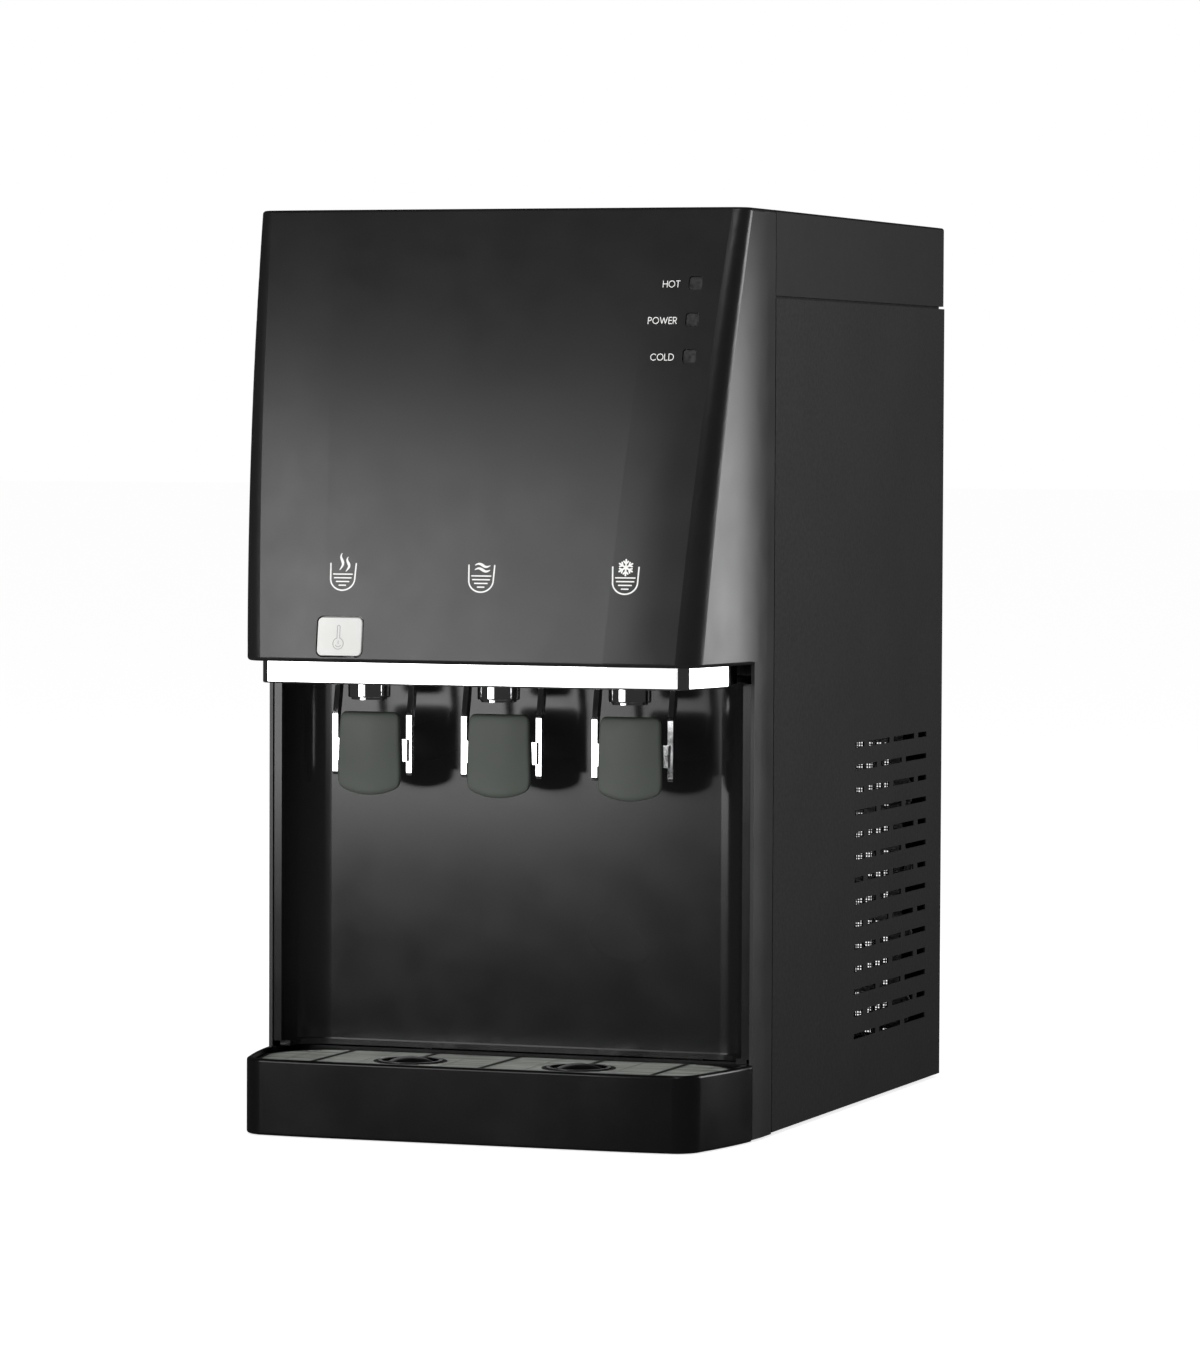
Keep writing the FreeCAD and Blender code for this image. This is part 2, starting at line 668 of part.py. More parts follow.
def tank_shelf():
    """Folded shelf under the tanks; its side folds stop short of the vents."""
    x = HALF - SHEET - SLIP
    y0 = BULKHEAD_Y - SHELF_FRONT
    y1 = BODY_DEPTH - SHELF_REAR_GAP
    low = SHELF_Z - SHELF_FOLD
    shelf = box(-x, x, y0, y1, low, SHELF_Z + PAN_T)
    shelf = shelf.cut(box(-x + PAN_T, x - PAN_T, y0 - OVERCUT, y1 + OVERCUT, low - OVERCUT, SHELF_Z))
    return shelf.cut(box(-HALF, HALF, VENT_START - 2 * VENT_H, y1 + OVERCUT, low - OVERCUT, SHELF_Z))


def service_bulkhead():
    """Upright sheet on the shelf that carries the control board."""
    x = HALF - PANEL_FLANGE - SLIP
    sheet = box(-x, x, BULKHEAD_Y, BULKHEAD_Y + PAN_T, SHELF_Z + PAN_T, PANEL_TOP - 2 * SHEET)
    for _, side in TAPS:
        hole_x = side * TAP_PITCH
        start = (hole_x, BULKHEAD_Y - OVERCUT, TUBE_Z)
        sheet = sheet.cut(rod(TUBE_R + 5 * SLIP, start, (hole_x, BULKHEAD_Y + PAN_T + OVERCUT, TUBE_Z)))
    return sheet


# ---------------------------------------------------------------- bay
def bay_plan(inset, front, z0, z1):
    """Solid that fills the dispensing bay, with rounded rear corners."""
    radius = BAY_CORNER_R - inset
    half = BAY_HALF - inset
    back = -BAY_BACK - inset
    block = box(-half, half, front, back, z0, z1)
    return block.makeFillet(radius, rear_uprights(block))


def rear_uprights(block):
    """A block's upright edges at its rear."""
    tall = block.BoundBox.ZLength / 2
    back = block.BoundBox.YMax - 0.1
    return [e for e in block.Edges if e.BoundBox.ZLength > tall and e.BoundBox.YMin > back]


def splash_back():
    shell = bay_plan(-SPLASH_T, -COLUMN_FACE, SILL_BOTTOM, SPLASH_TOP)
    bay = bay_plan(0, -COLUMN_FACE - 20, SILL_BOTTOM - 1, SPLASH_TOP + 1)
    shell = shell.cut(bay)
    corner_y = -BAY_BACK - BAY_CORNER_R - 1
    sill = bay_plan(-SPLASH_T / 2, corner_y, SILL_BOTTOM, COLUMN_BOTTOM)
    sill = sill.cut(bay_plan(SILL_REACH, -COLUMN_FACE - 20, SILL_BOTTOM - 1, COLUMN_BOTTOM + 1))
    outer = HALF - CHEEK_WALL - SLIP / 2 - SEAM
    face = box(BAY_HALF, outer, -COLUMN_FACE, -COLUMN_FACE + SPLASH_T, SILL_BOTTOM, SPLASH_TOP)
    side = box(BAY_HALF, BAY_HALF + SPLASH_T, -COLUMN_FACE, -COLUMN_FACE / 2, SILL_BOTTOM, SPLASH_TOP)
    column = face.fuse(side)
    shell = join(shell, sill, column, mirrored(column))
    under = box(-HALF, HALF, -COLUMN_FACE - 5, corner_y, SILL_BOTTOM - 1, COLUMN_BOTTOM)
    return shell.cut(under)


def trim_band():
    top = FASCIA_BOTTOM + BAND_HIDDEN
    band = upright(outline(1, BAND_IN, 0), BAND_BOTTOM, top)
    rim = [e for e in band.Edges if e.BoundBox.ZMax < BAND_BOTTOM + 0.01 and e.BoundBox.YMin < -BAND_END]
    band = band.makeFillet(BAND_T * 0.45, [e for e in rim if e.BoundBox.YMax < -1])
    band = band.cut(upright(outline(1, BAND_IN + BAND_T, 1), BAND_BOTTOM - 1, top + 1))
    return band.cut(box(-HALF, HALF, -BAND_END, 1, BAND_BOTTOM - 1, top + 1))


def soffit():
    plate = upright(outline(1, BAND_IN + BAND_T + SLIP / 2, -BAY_BACK + 4), SOFFIT_Z, SOFFIT_Z + SOFFIT_T)
    for _, side in TAPS:
        x = side * TAP_PITCH
        low, high = SOFFIT_Z - OVERCUT, SOFFIT_Z + SOFFIT_T + OVERCUT
        plate = plate.cut(rod(SPOUT_NECK_R + SLIP, (x, SPOUT_Y, low), (x, SPOUT_Y, high)))
        half = ARM_T / 2 + ARM_ROOM
        front, rear = PIVOT_Y - ARM_SWING[0], PIVOT_Y + ARM_SWING[1]
        for hand in (-1, 1):
            mid = x + hand * (ARM_OUTER - ARM_T / 2)
            plate = plate.cut(rounded_box(mid - half, mid + half, front, rear, low, high, half / 2))
    return plate


# ---------------------------------------------------------------- taps
def spout(x):
    collar = rod(SPOUT_R, (x, SPOUT_Y, SPOUT_BOTTOM), (x, SPOUT_Y, SOFFIT_Z - SLIP / 2))
    neck = rod(SPOUT_NECK_R, (x, SPOUT_Y, SOFFIT_Z - SLIP / 2), (x, SPOUT_Y, TAP_BODY_BOTTOM))
    nose = rod(SPOUT_R - 1.8, (x, SPOUT_Y, SPOUT_BOTTOM - 1.2), (x, SPOUT_Y, SPOUT_BOTTOM))
    body = join(collar, neck, nose)
    rim = [e for e in body.Edges
           if abs(e.BoundBox.ZMin - SPOUT_BOTTOM) < 0.01 and e.BoundBox.XLength > 2 * SPOUT_R - 1]
    body = body.makeFillet(SPOUT_EDGE_R, rim)
    return body.cut(rod(SPOUT_BORE_R, (x, SPOUT_Y, SPOUT_BOTTOM - 2), (x, SPOUT_Y, TAP_BODY_BOTTOM + 1)))


def tap_body(x):
    block = rounded_box(x - TAP_BODY_HALF, x + TAP_BODY_HALF, TAP_FRONT, TAP_REAR,
                        TAP_BODY_BOTTOM, TAP_BODY_TOP, 2.5)
    parts = [block]
    for hand in (-1, 1):
        inner = x + hand * (TAP_BODY_HALF - LUG_T)
        outer = x + hand * TAP_BODY_HALF
        x0, x1 = sorted((inner, outer))
        parts.append(box(x0, x1, PIVOT_Y - LUG_HALF, PIVOT_Y + LUG_HALF,
                         SOFFIT_Z + SOFFIT_T, TAP_BODY_BOTTOM))
    body = join(*parts)
    left, right = x - ARM_OUTER, x + ARM_OUTER
    body = body.cut(rod(PIN_R + PRESS_FIT, (left, PIVOT_Y, PIVOT_Z), (right, PIVOT_Y, PIVOT_Z)))
    y = PIVOT_Y + CAM_REACH
    below = TAP_BODY_BOTTOM - OVERCUT
    body = body.cut(rod(PLUNGER_BORE_R, (x, y, below), (x, y, spring_seat())))
    body = body.cut(rod(PLUNGER_R + SLIP / 2, (x, y, below), (x, y, PLUNGER_TOP + PLUNGER_STROKE + OVERCUT)))
    water = rod(SPOUT_BORE_R, (x, SPOUT_Y, below), (x, SPOUT_Y, TUBE_Z))
    across = rod(TUBE_R - TUBE_WALL, (x, SPOUT_Y, TUBE_Z), (x, TAP_REAR + OVERCUT, TUBE_Z))
    return body.cut(water).cut(across)


def spring_seat():
    return TAP_BODY_BOTTOM + SPRING_DEPTH


def cam_top():
    return PIVOT_Z + CAM_R


def plunger(x):
    y = PIVOT_Y + CAM_REACH
    foot = cam_top() + REST_GAP
    head = rod(PLUNGER_HEAD_R, (x, y, foot), (x, y, foot + PLUNGER_HEAD_T))
    stem = rod(PLUNGER_R, (x, y, foot + PLUNGER_HEAD_T), (x, y, PLUNGER_TOP))
    return head.fuse(stem).removeSplitter()


def valve_spring(x):
    y = PIVOT_Y + CAM_REACH
    low = cam_top() + REST_GAP + PLUNGER_HEAD_T
    return spring(*VALVE_SPRING, (x, y, low), (x, y, spring_seat()))


def lever_pins():
    """One pin through both arms of each yoke; it stands a little out of them."""
    ends = ARM_OUTER + 3 * SLIP
    pins = []
    for _, side in TAPS:
        x = side * TAP_PITCH
        pins.append(rod(PIN_R, (x - ends, PIVOT_Y, PIVOT_Z), (x + ends, PIVOT_Y, PIVOT_Z)))
    return Part.makeCompound(pins)


def arm_profile():
    """Side view of one yoke arm: straight below, leaning back to the pivot above."""
    d = ARM_D / 2
    neck = PIVOT_Y - 1.5
    mid = (ARM_Y + neck) / 2
    front = [(ARM_Y - d, ARM_BOTTOM), (ARM_Y - d, ARM_BEND), (mid - d - 0.6, ARM_BEND + 12),
             (neck - d, PIVOT_Z - 6), (neck - d, PIVOT_Z)]
    rear = [(neck + d, PIVOT_Z), (neck + d, PIVOT_Z - 6), (mid + d, ARM_BEND + 9),
            (ARM_Y + d, ARM_BEND - 3), (ARM_Y + d, ARM_BOTTOM)]
    points = front + rear
    return [V(0, y, z) for y, z in points]


def yoke(x):
    inner = ARM_OUTER - ARM_T
    points = arm_profile()
    plate = Part.Face(Part.makePolygon(points + [points[0]]))
    plate.translate(V(inner, 0, 0))
    arm = plate.extrude(V(ARM_T, 0, 0))
    low = [e for e in arm.Edges if e.BoundBox.ZMax < ARM_BEND and e.BoundBox.ZLength < 0.01
           and e.BoundBox.XLength > ARM_T / 2]
    arm = arm.makeFillet(ARM_D * 0.45, low)
    eye = rod(ARM_D, (inner, PIVOT_Y, PIVOT_Z), (ARM_OUTER, PIVOT_Y, PIVOT_Z))
    web = box(inner, ARM_OUTER, PIVOT_Y, PIVOT_Y + CAM_REACH, PIVOT_Z - CAM_R, PIVOT_Z + CAM_R)
    round_end = rod(CAM_R, (inner, PIVOT_Y + CAM_REACH, PIVOT_Z), (ARM_OUTER, PIVOT_Y + CAM_REACH, PIVOT_Z))
    side = join(arm, eye, web, round_end)
    side = side.cut(rod(PIN_R + PIN_FIT, (inner - 1, PIVOT_Y, PIVOT_Z), (ARM_OUTER + 1, PIVOT_Y, PIVOT_Z)))
    cam = rod(CAM_R, (-inner - 1, PIVOT_Y + CAM_REACH, PIVOT_Z), (inner + 1, PIVOT_Y + CAM_REACH, PIVOT_Z))
    low = ARM_BOTTOM + BAR_UP
    bar = box(-inner - 1, inner + 1, paddle_back(), ARM_Y + ARM_D / 2, low, low + BAR_H)
    made = join(side, mirrored(side), cam, bar)
    made.translate(V(x, 0, 0))
    return made


def paddle_back():
    return ARM_Y - ARM_D / 2 - PADDLE_BEHIND


def paddle(x):
    """Push pad: a tongue that is wider and rounded below, with a gently bowed face."""
    back = paddle_back()
    top, low = PADDLE_TOP, PADDLE_BOTTOM + PADDLE_SAG
    right = [V(PADDLE_HALF_TOP, 0, top), V(PADDLE_HALF, 0, low)]
    left = [V(-p.x, 0, p.z) for p in right]
    lower = Part.Arc(right[1], V(0, 0, PADDLE_BOTTOM), left[1]).toShape()
    upper = Part.LineSegment(left[0], right[0]).toShape()
    sides = [Part.LineSegment(*pair).toShape() for pair in (right, left)]
    wire = Part.Wire(Part.__sortEdges__([upper, lower] + sides))
    slab = Part.Face(wire).extrude(V(0, PADDLE_T + PADDLE_CROWN + 1, 0))
    slab.translate(V(0, back - PADDLE_T - PADDLE_CROWN - 1, 0))
    radius = (PADDLE_HALF ** 2 + PADDLE_CROWN ** 2) / (2 * PADDLE_CROWN)
    front = back - PADDLE_T
    axis_y = front - PADDLE_CROWN + radius
    crown = rod(radius, (0, axis_y, PADDLE_BOTTOM - PADDLE_SAG), (0, axis_y, top + PADDLE_SAG))
    pad = slab.common(crown)
    corners = [e for e in pad.Edges if e.BoundBox.YLength > PADDLE_T * 0.8 and e.BoundBox.XLength < 0.5
               and e.BoundBox.ZLength < 0.5]
    pad = pad.makeFillet(PADDLE_CORNER_R, corners)
    pad.translate(V(x, 0, 0))
    return pad


# ---------------------------------------------------------------- button and lights
def safety_button():
    w, h = BUTTON_W / 2, BUTTON_H / 2
    cap = rounded_box(-w, w, -BUTTON_PROUD, BUTTON_CAP, -h, h, BUTTON_R, "y")
    face = [e for e in cap.Edges if e.BoundBox.YMax < -BUTTON_PROUD + 0.01]
    cap = cap.makeFillet(BUTTON_EDGE_R, face)
    stem_end = BUTTON_CAP + BUTTON_FLANGE + BUTTON_STEM
    flange = box(-w - BUTTON_FLANGE, w + BUTTON_FLANGE, FASCIA_WALL + SLIP, BUTTON_CAP + BUTTON_FLANGE,
                 -h, h + BUTTON_FLANGE)
    stem = rod(BUTTON_STEM_R, (0, BUTTON_CAP, 0), (0, stem_end, 0))
    return on_face(join(cap, flange, stem), BUTTON_X, BUTTON_Z)


def switch_depth():
    return BUTTON_CAP + BUTTON_FLANGE + BUTTON_STEM + BUTTON_STROKE + REST_GAP


def button_spring():
    coil = spring(*BUTTON_SPRING, (0, BUTTON_CAP + BUTTON_FLANGE, 0), (0, switch_depth(), 0))
    return on_face(coil, BUTTON_X, BUTTON_Z)


def safety_switch():
    d = switch_depth()
    half_w, deep, half_h = SWITCH_BODY
    leg_w, leg, leg_h = SWITCH_LEG
    body = rounded_box(-half_w, half_w, d, d + deep, -half_h, half_h, 1.0, "y")
    legs = [box(x - leg_w, x + leg_w, d + deep, d + deep + leg, -leg_h, leg_h) for x in (-half_h, 0, half_h)]
    return on_face(join(body, *legs), BUTTON_X, BUTTON_Z)


def light_lens(z):
    half = LIGHT_SIZE / 2
    deep = FASCIA_WALL + LIGHT_FLANGE
    wide = half + LIGHT_RIM
    lens = rounded_box(-half, half, LIGHT_SUNK, deep, -half, half, LIGHT_R - SLIP / 2, "y")
    back = box(-wide, wide, FASCIA_WALL + SLIP, deep, -wide, wide)
    return on_face(join(lens, back), LIGHT_X, z)


def indicator_board():
    """Upright board behind the lenses, with its three lamps and its plug socket."""
    y = -reach(share_down(LIGHT_Z[0])) + INDICATOR_DEPTH
    rear = y + BOARD_T
    half = 2 * LIGHT_SIZE
    low, high = LIGHT_Z[-1] - half, LIGHT_Z[0] + half
    parts = [box(LIGHT_X - half, LIGHT_X + half, y, rear, low, high)]
    for z in LIGHT_Z:
        parts.append(rod(LED_R, (LIGHT_X, y - LED_H, z), (LIGHT_X, y, z)))
    plug = low + LED_R
    parts.append(box(LIGHT_X - half / 2, LIGHT_X + half / 2, rear, rear + LED_H, plug, plug + half / 2))
    return join(*parts)


# ---------------------------------------------------------------- drip tray
def tray_step():
    """The tray narrows here to slide between the cheeks."""
    return -CHEEK_REACH - 0.6


def tray_side():
    return HALF - CHEEK_WALL - 1.2 - SLIP


def tray_plan(inset, z0, z1):
    """Front of the tray follows the fascia's outline, its rear slides between the cheeks."""
    front = front_slab(inset, tray_step() - inset, z0, z1)
    side = tray_side() - inset
    rear = box(-side, side, tray_step() - 14, -TRAY_REAR - inset, z0, z1)
    return front.fuse(rear).removeSplitter()


def drip_tray():
    tray = front_slab(0, tray_step(), TRAY_BOTTOM, TRAY_TOP)
    rims = [e for e in tray.Edges if e.BoundBox.ZLength < 0.01 and e.BoundBox.YMin < tray_step() - 0.5]
    tray = tray.makeFillet(TRAY_EDGE_R, rims)
    rear_top = SILL_BOTTOM - 2 * SLIP
    tray = tray.fuse(box(-tray_side(), tray_side(), tray_step() - 2, -TRAY_REAR, TRAY_BOTTOM, rear_top))
    tray = tray.cut(tray_plan(TRAY_WALL, TRAY_LEDGE_Z, TRAY_TOP + 1))
    return tray.cut(tray_plan(TRAY_WALL + TRAY_LEDGE, TRAY_BOTTOM + TRAY_FLOOR, TRAY_LEDGE_Z + 1))


def grille_plan(inset, z0, z1):
    """Plan of the grille: the tray's mouth, with wide rounded corners at the rear."""
    plan = tray_plan(TRAY_WALL + SLIP + inset, z0, z1)
    half = HALF - GRILLE_SIDE - inset
    back = -BAY_BACK - SILL_REACH - 1.0 - inset
    limit = box(-half, half, -FRONT_REACH, back, z0, z1)
    edges = [e for e in limit.Edges if e.BoundBox.ZLength > (z1 - z0) / 2 and e.BoundBox.YMin > back - 0.1]
    return plan.common(limit.makeFillet(GRILLE_REAR_R - inset, edges))


def rib_places():
    return [n * RIB_SPACING for n in (-2, -1, 0, 1, 2)]


def dome_places():
    return [(-RIB_SPACING, DOME_Y), (RIB_SPACING, DOME_Y)]


def dome_wells(radius, z0, z1):
    return Part.makeCompound([rod(radius, (x, y, z0), (x, y, z1)) for x, y in dome_places()])


def grille_frame():
    low = TRAY_LEDGE_Z
    seat = GRILLE_TOP - SLAT_T
    rim = grille_plan(0, low, GRILLE_TOP).cut(grille_plan(GRILLE_RIM, seat - 0.01, GRILLE_TOP + 1))
    rim = rim.cut(grille_plan(GRILLE_RIM + SEAT_W, low - OVERCUT, seat + OVERCUT))
    full = grille_plan(GRILLE_RIM / 2, low, GRILLE_TOP)
    under = low + RIB_UP
    above = GRILLE_TOP + OVERCUT
    parts = [rim]
    for x in rib_places():
        parts.append(full.common(box(x - RIB_T / 2, x + RIB_T / 2, -FRONT_REACH, 0, under, GRILLE_TOP)))
    for y in CROSS_BARS:
        parts.append(full.common(box(-HALF, HALF, y - CROSS_HALF, y + CROSS_HALF, under, seat)))
    for x, y in dome_places():
        parts.append(tube(DOME_R + DOME_WALL, DOME_R - DOME_WALL, (x, y, under), (x, y, GRILLE_TOP)))
    frame = join(*parts).cut(dome_wells(DOME_R, dome_base(), above))
    return frame.cut(dome_wells(DOME_R - DOME_WALL, low - OVERCUT, above))


def dome_base():
    """The domes stand on a step inside the frame's two rings."""
    return TRAY_LEDGE_Z + RIB_UP + 1.0


def grille_slats():
    """Six slatted inserts in the frame, one solid each."""
    seat = GRILLE_TOP - SLAT_T
    plan = grille_plan(GRILLE_RIM + SLIP / 2, seat, GRILLE_TOP - 0.2)
    low, high = seat - OVERCUT, GRILLE_TOP + OVERCUT
    plan = plan.cut(dome_wells(DOME_R + DOME_WALL + SLIP / 2, low, high))
    cuts = []
    y = -FRONT_REACH + TRAY_WALL + SLAT_START
    while y < -BAY_BACK - SILL_REACH - SLAT_PITCH:
        cuts.append(box(-HALF, HALF, y, y + SLAT_PITCH - SLAT_W, low, high))
        y += SLAT_PITCH
    slots = Part.makeCompound(cuts)
    lanes = [-HALF] + rib_places() + [HALF]
    inserts = []
    for left, right in zip(lanes, lanes[1:]):
        inner = (RIB_T + SLIP) / 2
        panel = plan.common(box(left + inner, right - inner, -FRONT_REACH, 0, seat, GRILLE_TOP))
        bounds = panel.BoundBox
        stay = box(bounds.XMin + GRILLE_RIM, bounds.XMax - GRILLE_RIM, -FRONT_REACH, 0, low, high)
        middle = (bounds.XMin + bounds.XMax) / 2
        keep = box(middle - SPINE_HALF, middle + SPINE_HALF, -FRONT_REACH, 0, low, high)
        pieces = panel.cut(slots.common(stay).cut(keep)).Solids
        inserts.append(max(pieces, key=lambda piece: piece.Volume))
    return Part.makeCompound(inserts)


def drain_domes():
    domes = []
    for x, y in dome_places():
        base = dome_base()
        seat = GRILLE_TOP - 1.0
        ring = tube(DOME_R - SLIP, DOME_R - SLIP - DOME_WALL, (x, y, base), (x, y, GRILLE_TOP + SLIP))
        disc = rod(DOME_DISC_R, (x, y, base), (x, y, seat))
        ball = Part.makeSphere(DOME_BALL_R, V(x, y, GRILLE_TOP + DOME_CROWN - DOME_BALL_R))
        cap = ball.common(rod(DOME_DISC_R, (x, y, seat), (x, y, GRILLE_TOP + 2 * DOME_CROWN)))
        parts = [ring, disc, cap]
        for n in range(DOME_SPOKES):
            spoke = box(DOME_DISC_R - 1, DOME_R - SLIP - DOME_WALL / 2, -SPOKE_HALF, SPOKE_HALF,
                        base, GRILLE_TOP - SLIP)
            spoke.rotate(V(0, 0, 0), V(0, 0, 1), (n + 0.5) * 360 / DOME_SPOKES)
            spoke.translate(V(x, y, 0))
            parts.append(spoke)
        domes.append(join(*parts))
    return Part.makeCompound(domes)


# ---------------------------------------------------------------- cooling and heating
def dished(x, y, radius, height, z0):
    """Upright cylinder with rounded ends."""
    body = rod(radius, (x, y, z0), (x, y, z0 + height))
    rims = [e for e in body.Edges if e.BoundBox.XLength > radius]
    return body.makeFillet(radius * DISH, [e for e in rims if e.BoundBox.ZLength < 0.01])


def vessel(place, z0, fittings, reach_front):
    """Sheet tank that its feed pipe and its drain pipe open into."""
    x, y, radius, height = place
    outer = dished(x, y, radius, height, z0)
    inner = dished(x, y, radius - TANK_T, height - 2 * TANK_T, z0 + TANK_T)
    mouth = y - radius - reach_front
    port = rod(PORT_R, (x, mouth, TUBE_Z), (x, y - radius + 2 * TANK_T, TUBE_Z))
    pipe_end = BODY_DEPTH - BUSH_SOCKET
    drain = rod(DRAIN_PIPE_R, (x, y + radius * (1 - DISH), DRAIN_Z), (x, pipe_end, DRAIN_Z))
    body = join(outer, port, drain, *fittings).cut(inner)
    ahead = (x, mouth - OVERCUT, TUBE_Z)
    body = body.cut(rod(TUBE_R - TUBE_WALL, ahead, (x, y, TUBE_Z)))
    body = body.cut(rod(DRAIN_BORE_R, (x, y, DRAIN_Z), (x, pipe_end + OVERCUT, DRAIN_Z)))
    return body.cut(rod(TUBE_R + PIN_FIT, ahead, (x, y - radius - TUBE_PUSH, TUBE_Z)))


def hot_tank():
    x, y, radius, height = HOT_TANK
    z0 = SHELF_Z + PAN_T
    skirt = tube(radius * 0.7, radius * 0.7 - 2 * TANK_T, (x, y, z0), (x, y, z0 + 2 * TANK_SKIRT_H))
    elements = []
    for dx in (-HEATER_X, HEATER_X):
        elements.append(rod(HEATER_R, (x + dx, y, z0 + height), (x + dx, y, z0 + height + HEATER_OUT)))
    return vessel(HOT_TANK, z0 + TANK_SKIRT_H, [skirt] + elements, 2 * TUBE_R)


def cold_tank():
    return vessel(COLD_TANK, SHELF_Z + PAN_T + FOAM_T + SLIP, [], FOAM_T + PORT_R)


def cold_foam():
    """Insulation round the cold tank: a bucket and its lid."""
    x, y, radius, height = COLD_TANK
    z0 = SHELF_Z + PAN_T
    half = radius + FOAM_T
    top = z0 + FOAM_T + height + 2 * SLIP
    bucket = rounded_box(x - half, x + half, y - half, y + half, z0, top, FOAM_CORNER_R)
    bucket = bucket.cut(rod(radius + SLIP, (x, y, z0 + FOAM_T), (x, y, top + OVERCUT)))
    bucket = bucket.cut(rod(PORT_R + SLIP, (x, y - half - OVERCUT, TUBE_Z), (x, y, TUBE_Z)))
    bucket = bucket.cut(rod(DRAIN_PIPE_R + SLIP, (x, y, DRAIN_Z), (x, y + half + OVERCUT, DRAIN_Z)))
    lid = rounded_box(x - half, x + half, y - half, y + half, top + PIN_FIT, top + FOAM_T, FOAM_CORNER_R)
    return Part.makeCompound([bucket, lid])


def compressor():
    x, y, radius, height = COMPRESSOR
    z0 = FOOT_HEIGHT + PAN_T + MOUNT_H
    shell = dished(x, y, radius, height, z0)
    seam = z0 + COMPRESSOR_SEAM_UP
    band = rod(radius + PAN_T, (x, y, seam), (x, y, seam + COMPRESSOR_SEAM_H))
    half_w, half_d, thick = COMPRESSOR_PLATE
    plate = rounded_box(x - half_w, x + half_w, y - half_d, y + half_d, z0, z0 + thick, MOUNT_R)
    deep, half, up, tall = TERMINAL_COVER
    front = x + radius - deep / 2
    cover = rounded_box(front, front + deep, y - half, y + half, z0 + up, z0 + up + tall, thick)
    made = join(shell, band, plate, cover)
    for px, py in mount_places():
        made = made.cut(rod(MOUNT_NECK_R + SLIP / 2, (px, py, z0 - OVERCUT), (px, py, z0 + thick + OVERCUT)))
    return made


def mount_places():
    x, y = COMPRESSOR[0], COMPRESSOR[1]
    return [(x + dx, y + dy) for dx in (-MOUNT_X, MOUNT_X) for dy in (-MOUNT_Y, MOUNT_Y)]


def compressor_mounts():
    """Rubber pads whose necks stand in the compressor's foot plate."""
    z0 = FOOT_HEIGHT + PAN_T
    shoulder = z0 + MOUNT_H
    top = shoulder + MOUNT_NECK_H
    pads = []
    for x, y in mount_places():
        neck = rod(MOUNT_NECK_R, (x, y, shoulder), (x, y, top))
        body = rod(MOUNT_R, (x, y, z0), (x, y, shoulder)).fuse(neck)
        pads.append(body.cut(rod(MOUNT_BORE_R, (x, y, z0 - OVERCUT), (x, y, top + OVERCUT))).removeSplitter())
    return Part.makeCompound(pads)


def condenser_rows():
    _, _, z0, z1 = REAR_WINDOW
    low, high = z0 + CONDENSER_INSET, z1 - CONDENSER_INSET
    step = (high - low) / (CONDENSER_ROWS - 1)
    return [low + n * step for n in range(CONDENSER_ROWS)], step


def condenser():
    """Serpentine tube on two straps that hang behind the rear panel's opening."""
    rows, step = condenser_rows()
    left, right = REAR_WINDOW[0] - CONDENSER_END, REAR_WINDOW[1] + CONDENSER_END
    path = []
    for n, z in enumerate(rows):
        path.append(Part.LineSegment(V(left, CONDENSER_Y, z), V(right, CONDENSER_Y, z)).toShape())
        if n < len(rows) - 1:
            end, out = (right, 1) if n % 2 == 0 else (left, -1)
            path.append(Part.Arc(V(end, CONDENSER_Y, z), V(end + out * step / 2, CONDENSER_Y, z + step / 2),
                                 V(end, CONDENSER_Y, z + step)).toShape())
    wire = Part.Wire(Part.__sortEdges__(path))
    ring = Part.Wire(Part.makeCircle(CONDENSER_TUBE_R, V(left, CONDENSER_Y, rows[0]), V(1, 0, 0)))
    tube_run = wire.makePipeShell([ring], True, False)
    parts = []
    back = BODY_DEPTH - SHEET
    low, high = rows[0] - STRAP_PAST, rows[-1] + STRAP_PAST
    for clip, strap in ((left, left + CLIP_W - STRAP_W), (right - CLIP_W, right - CLIP_W)):
        parts.append(box(strap, strap + STRAP_W, back - PAN_T, back, low, high))
        for z in (rows[1], rows[-2]):
            parts.append(box(clip, clip + CLIP_W, CONDENSER_Y, back, z - CLIP_HALF, z + CLIP_HALF))
    return join(tube_run, *parts)


def condenser_wires():
    """Upright cooling wires welded to both sides of the serpentine."""
    rows, _ = condenser_rows()
    offset = CONDENSER_TUBE_R + CONDENSER_WIRE_R
    wires = []
    x = REAR_WINDOW[0] + 2.0
    side = 1
    while x < REAR_WINDOW[1] - 1:
        y = CONDENSER_Y + side * offset
        wires.append(rod(CONDENSER_WIRE_R, (x, y, rows[0] - STRAP_PAST), (x, y, rows[-1] + STRAP_PAST)))
        x += CONDENSER_WIRE_PITCH / 2
        side = -side
    return Part.makeCompound(wires)


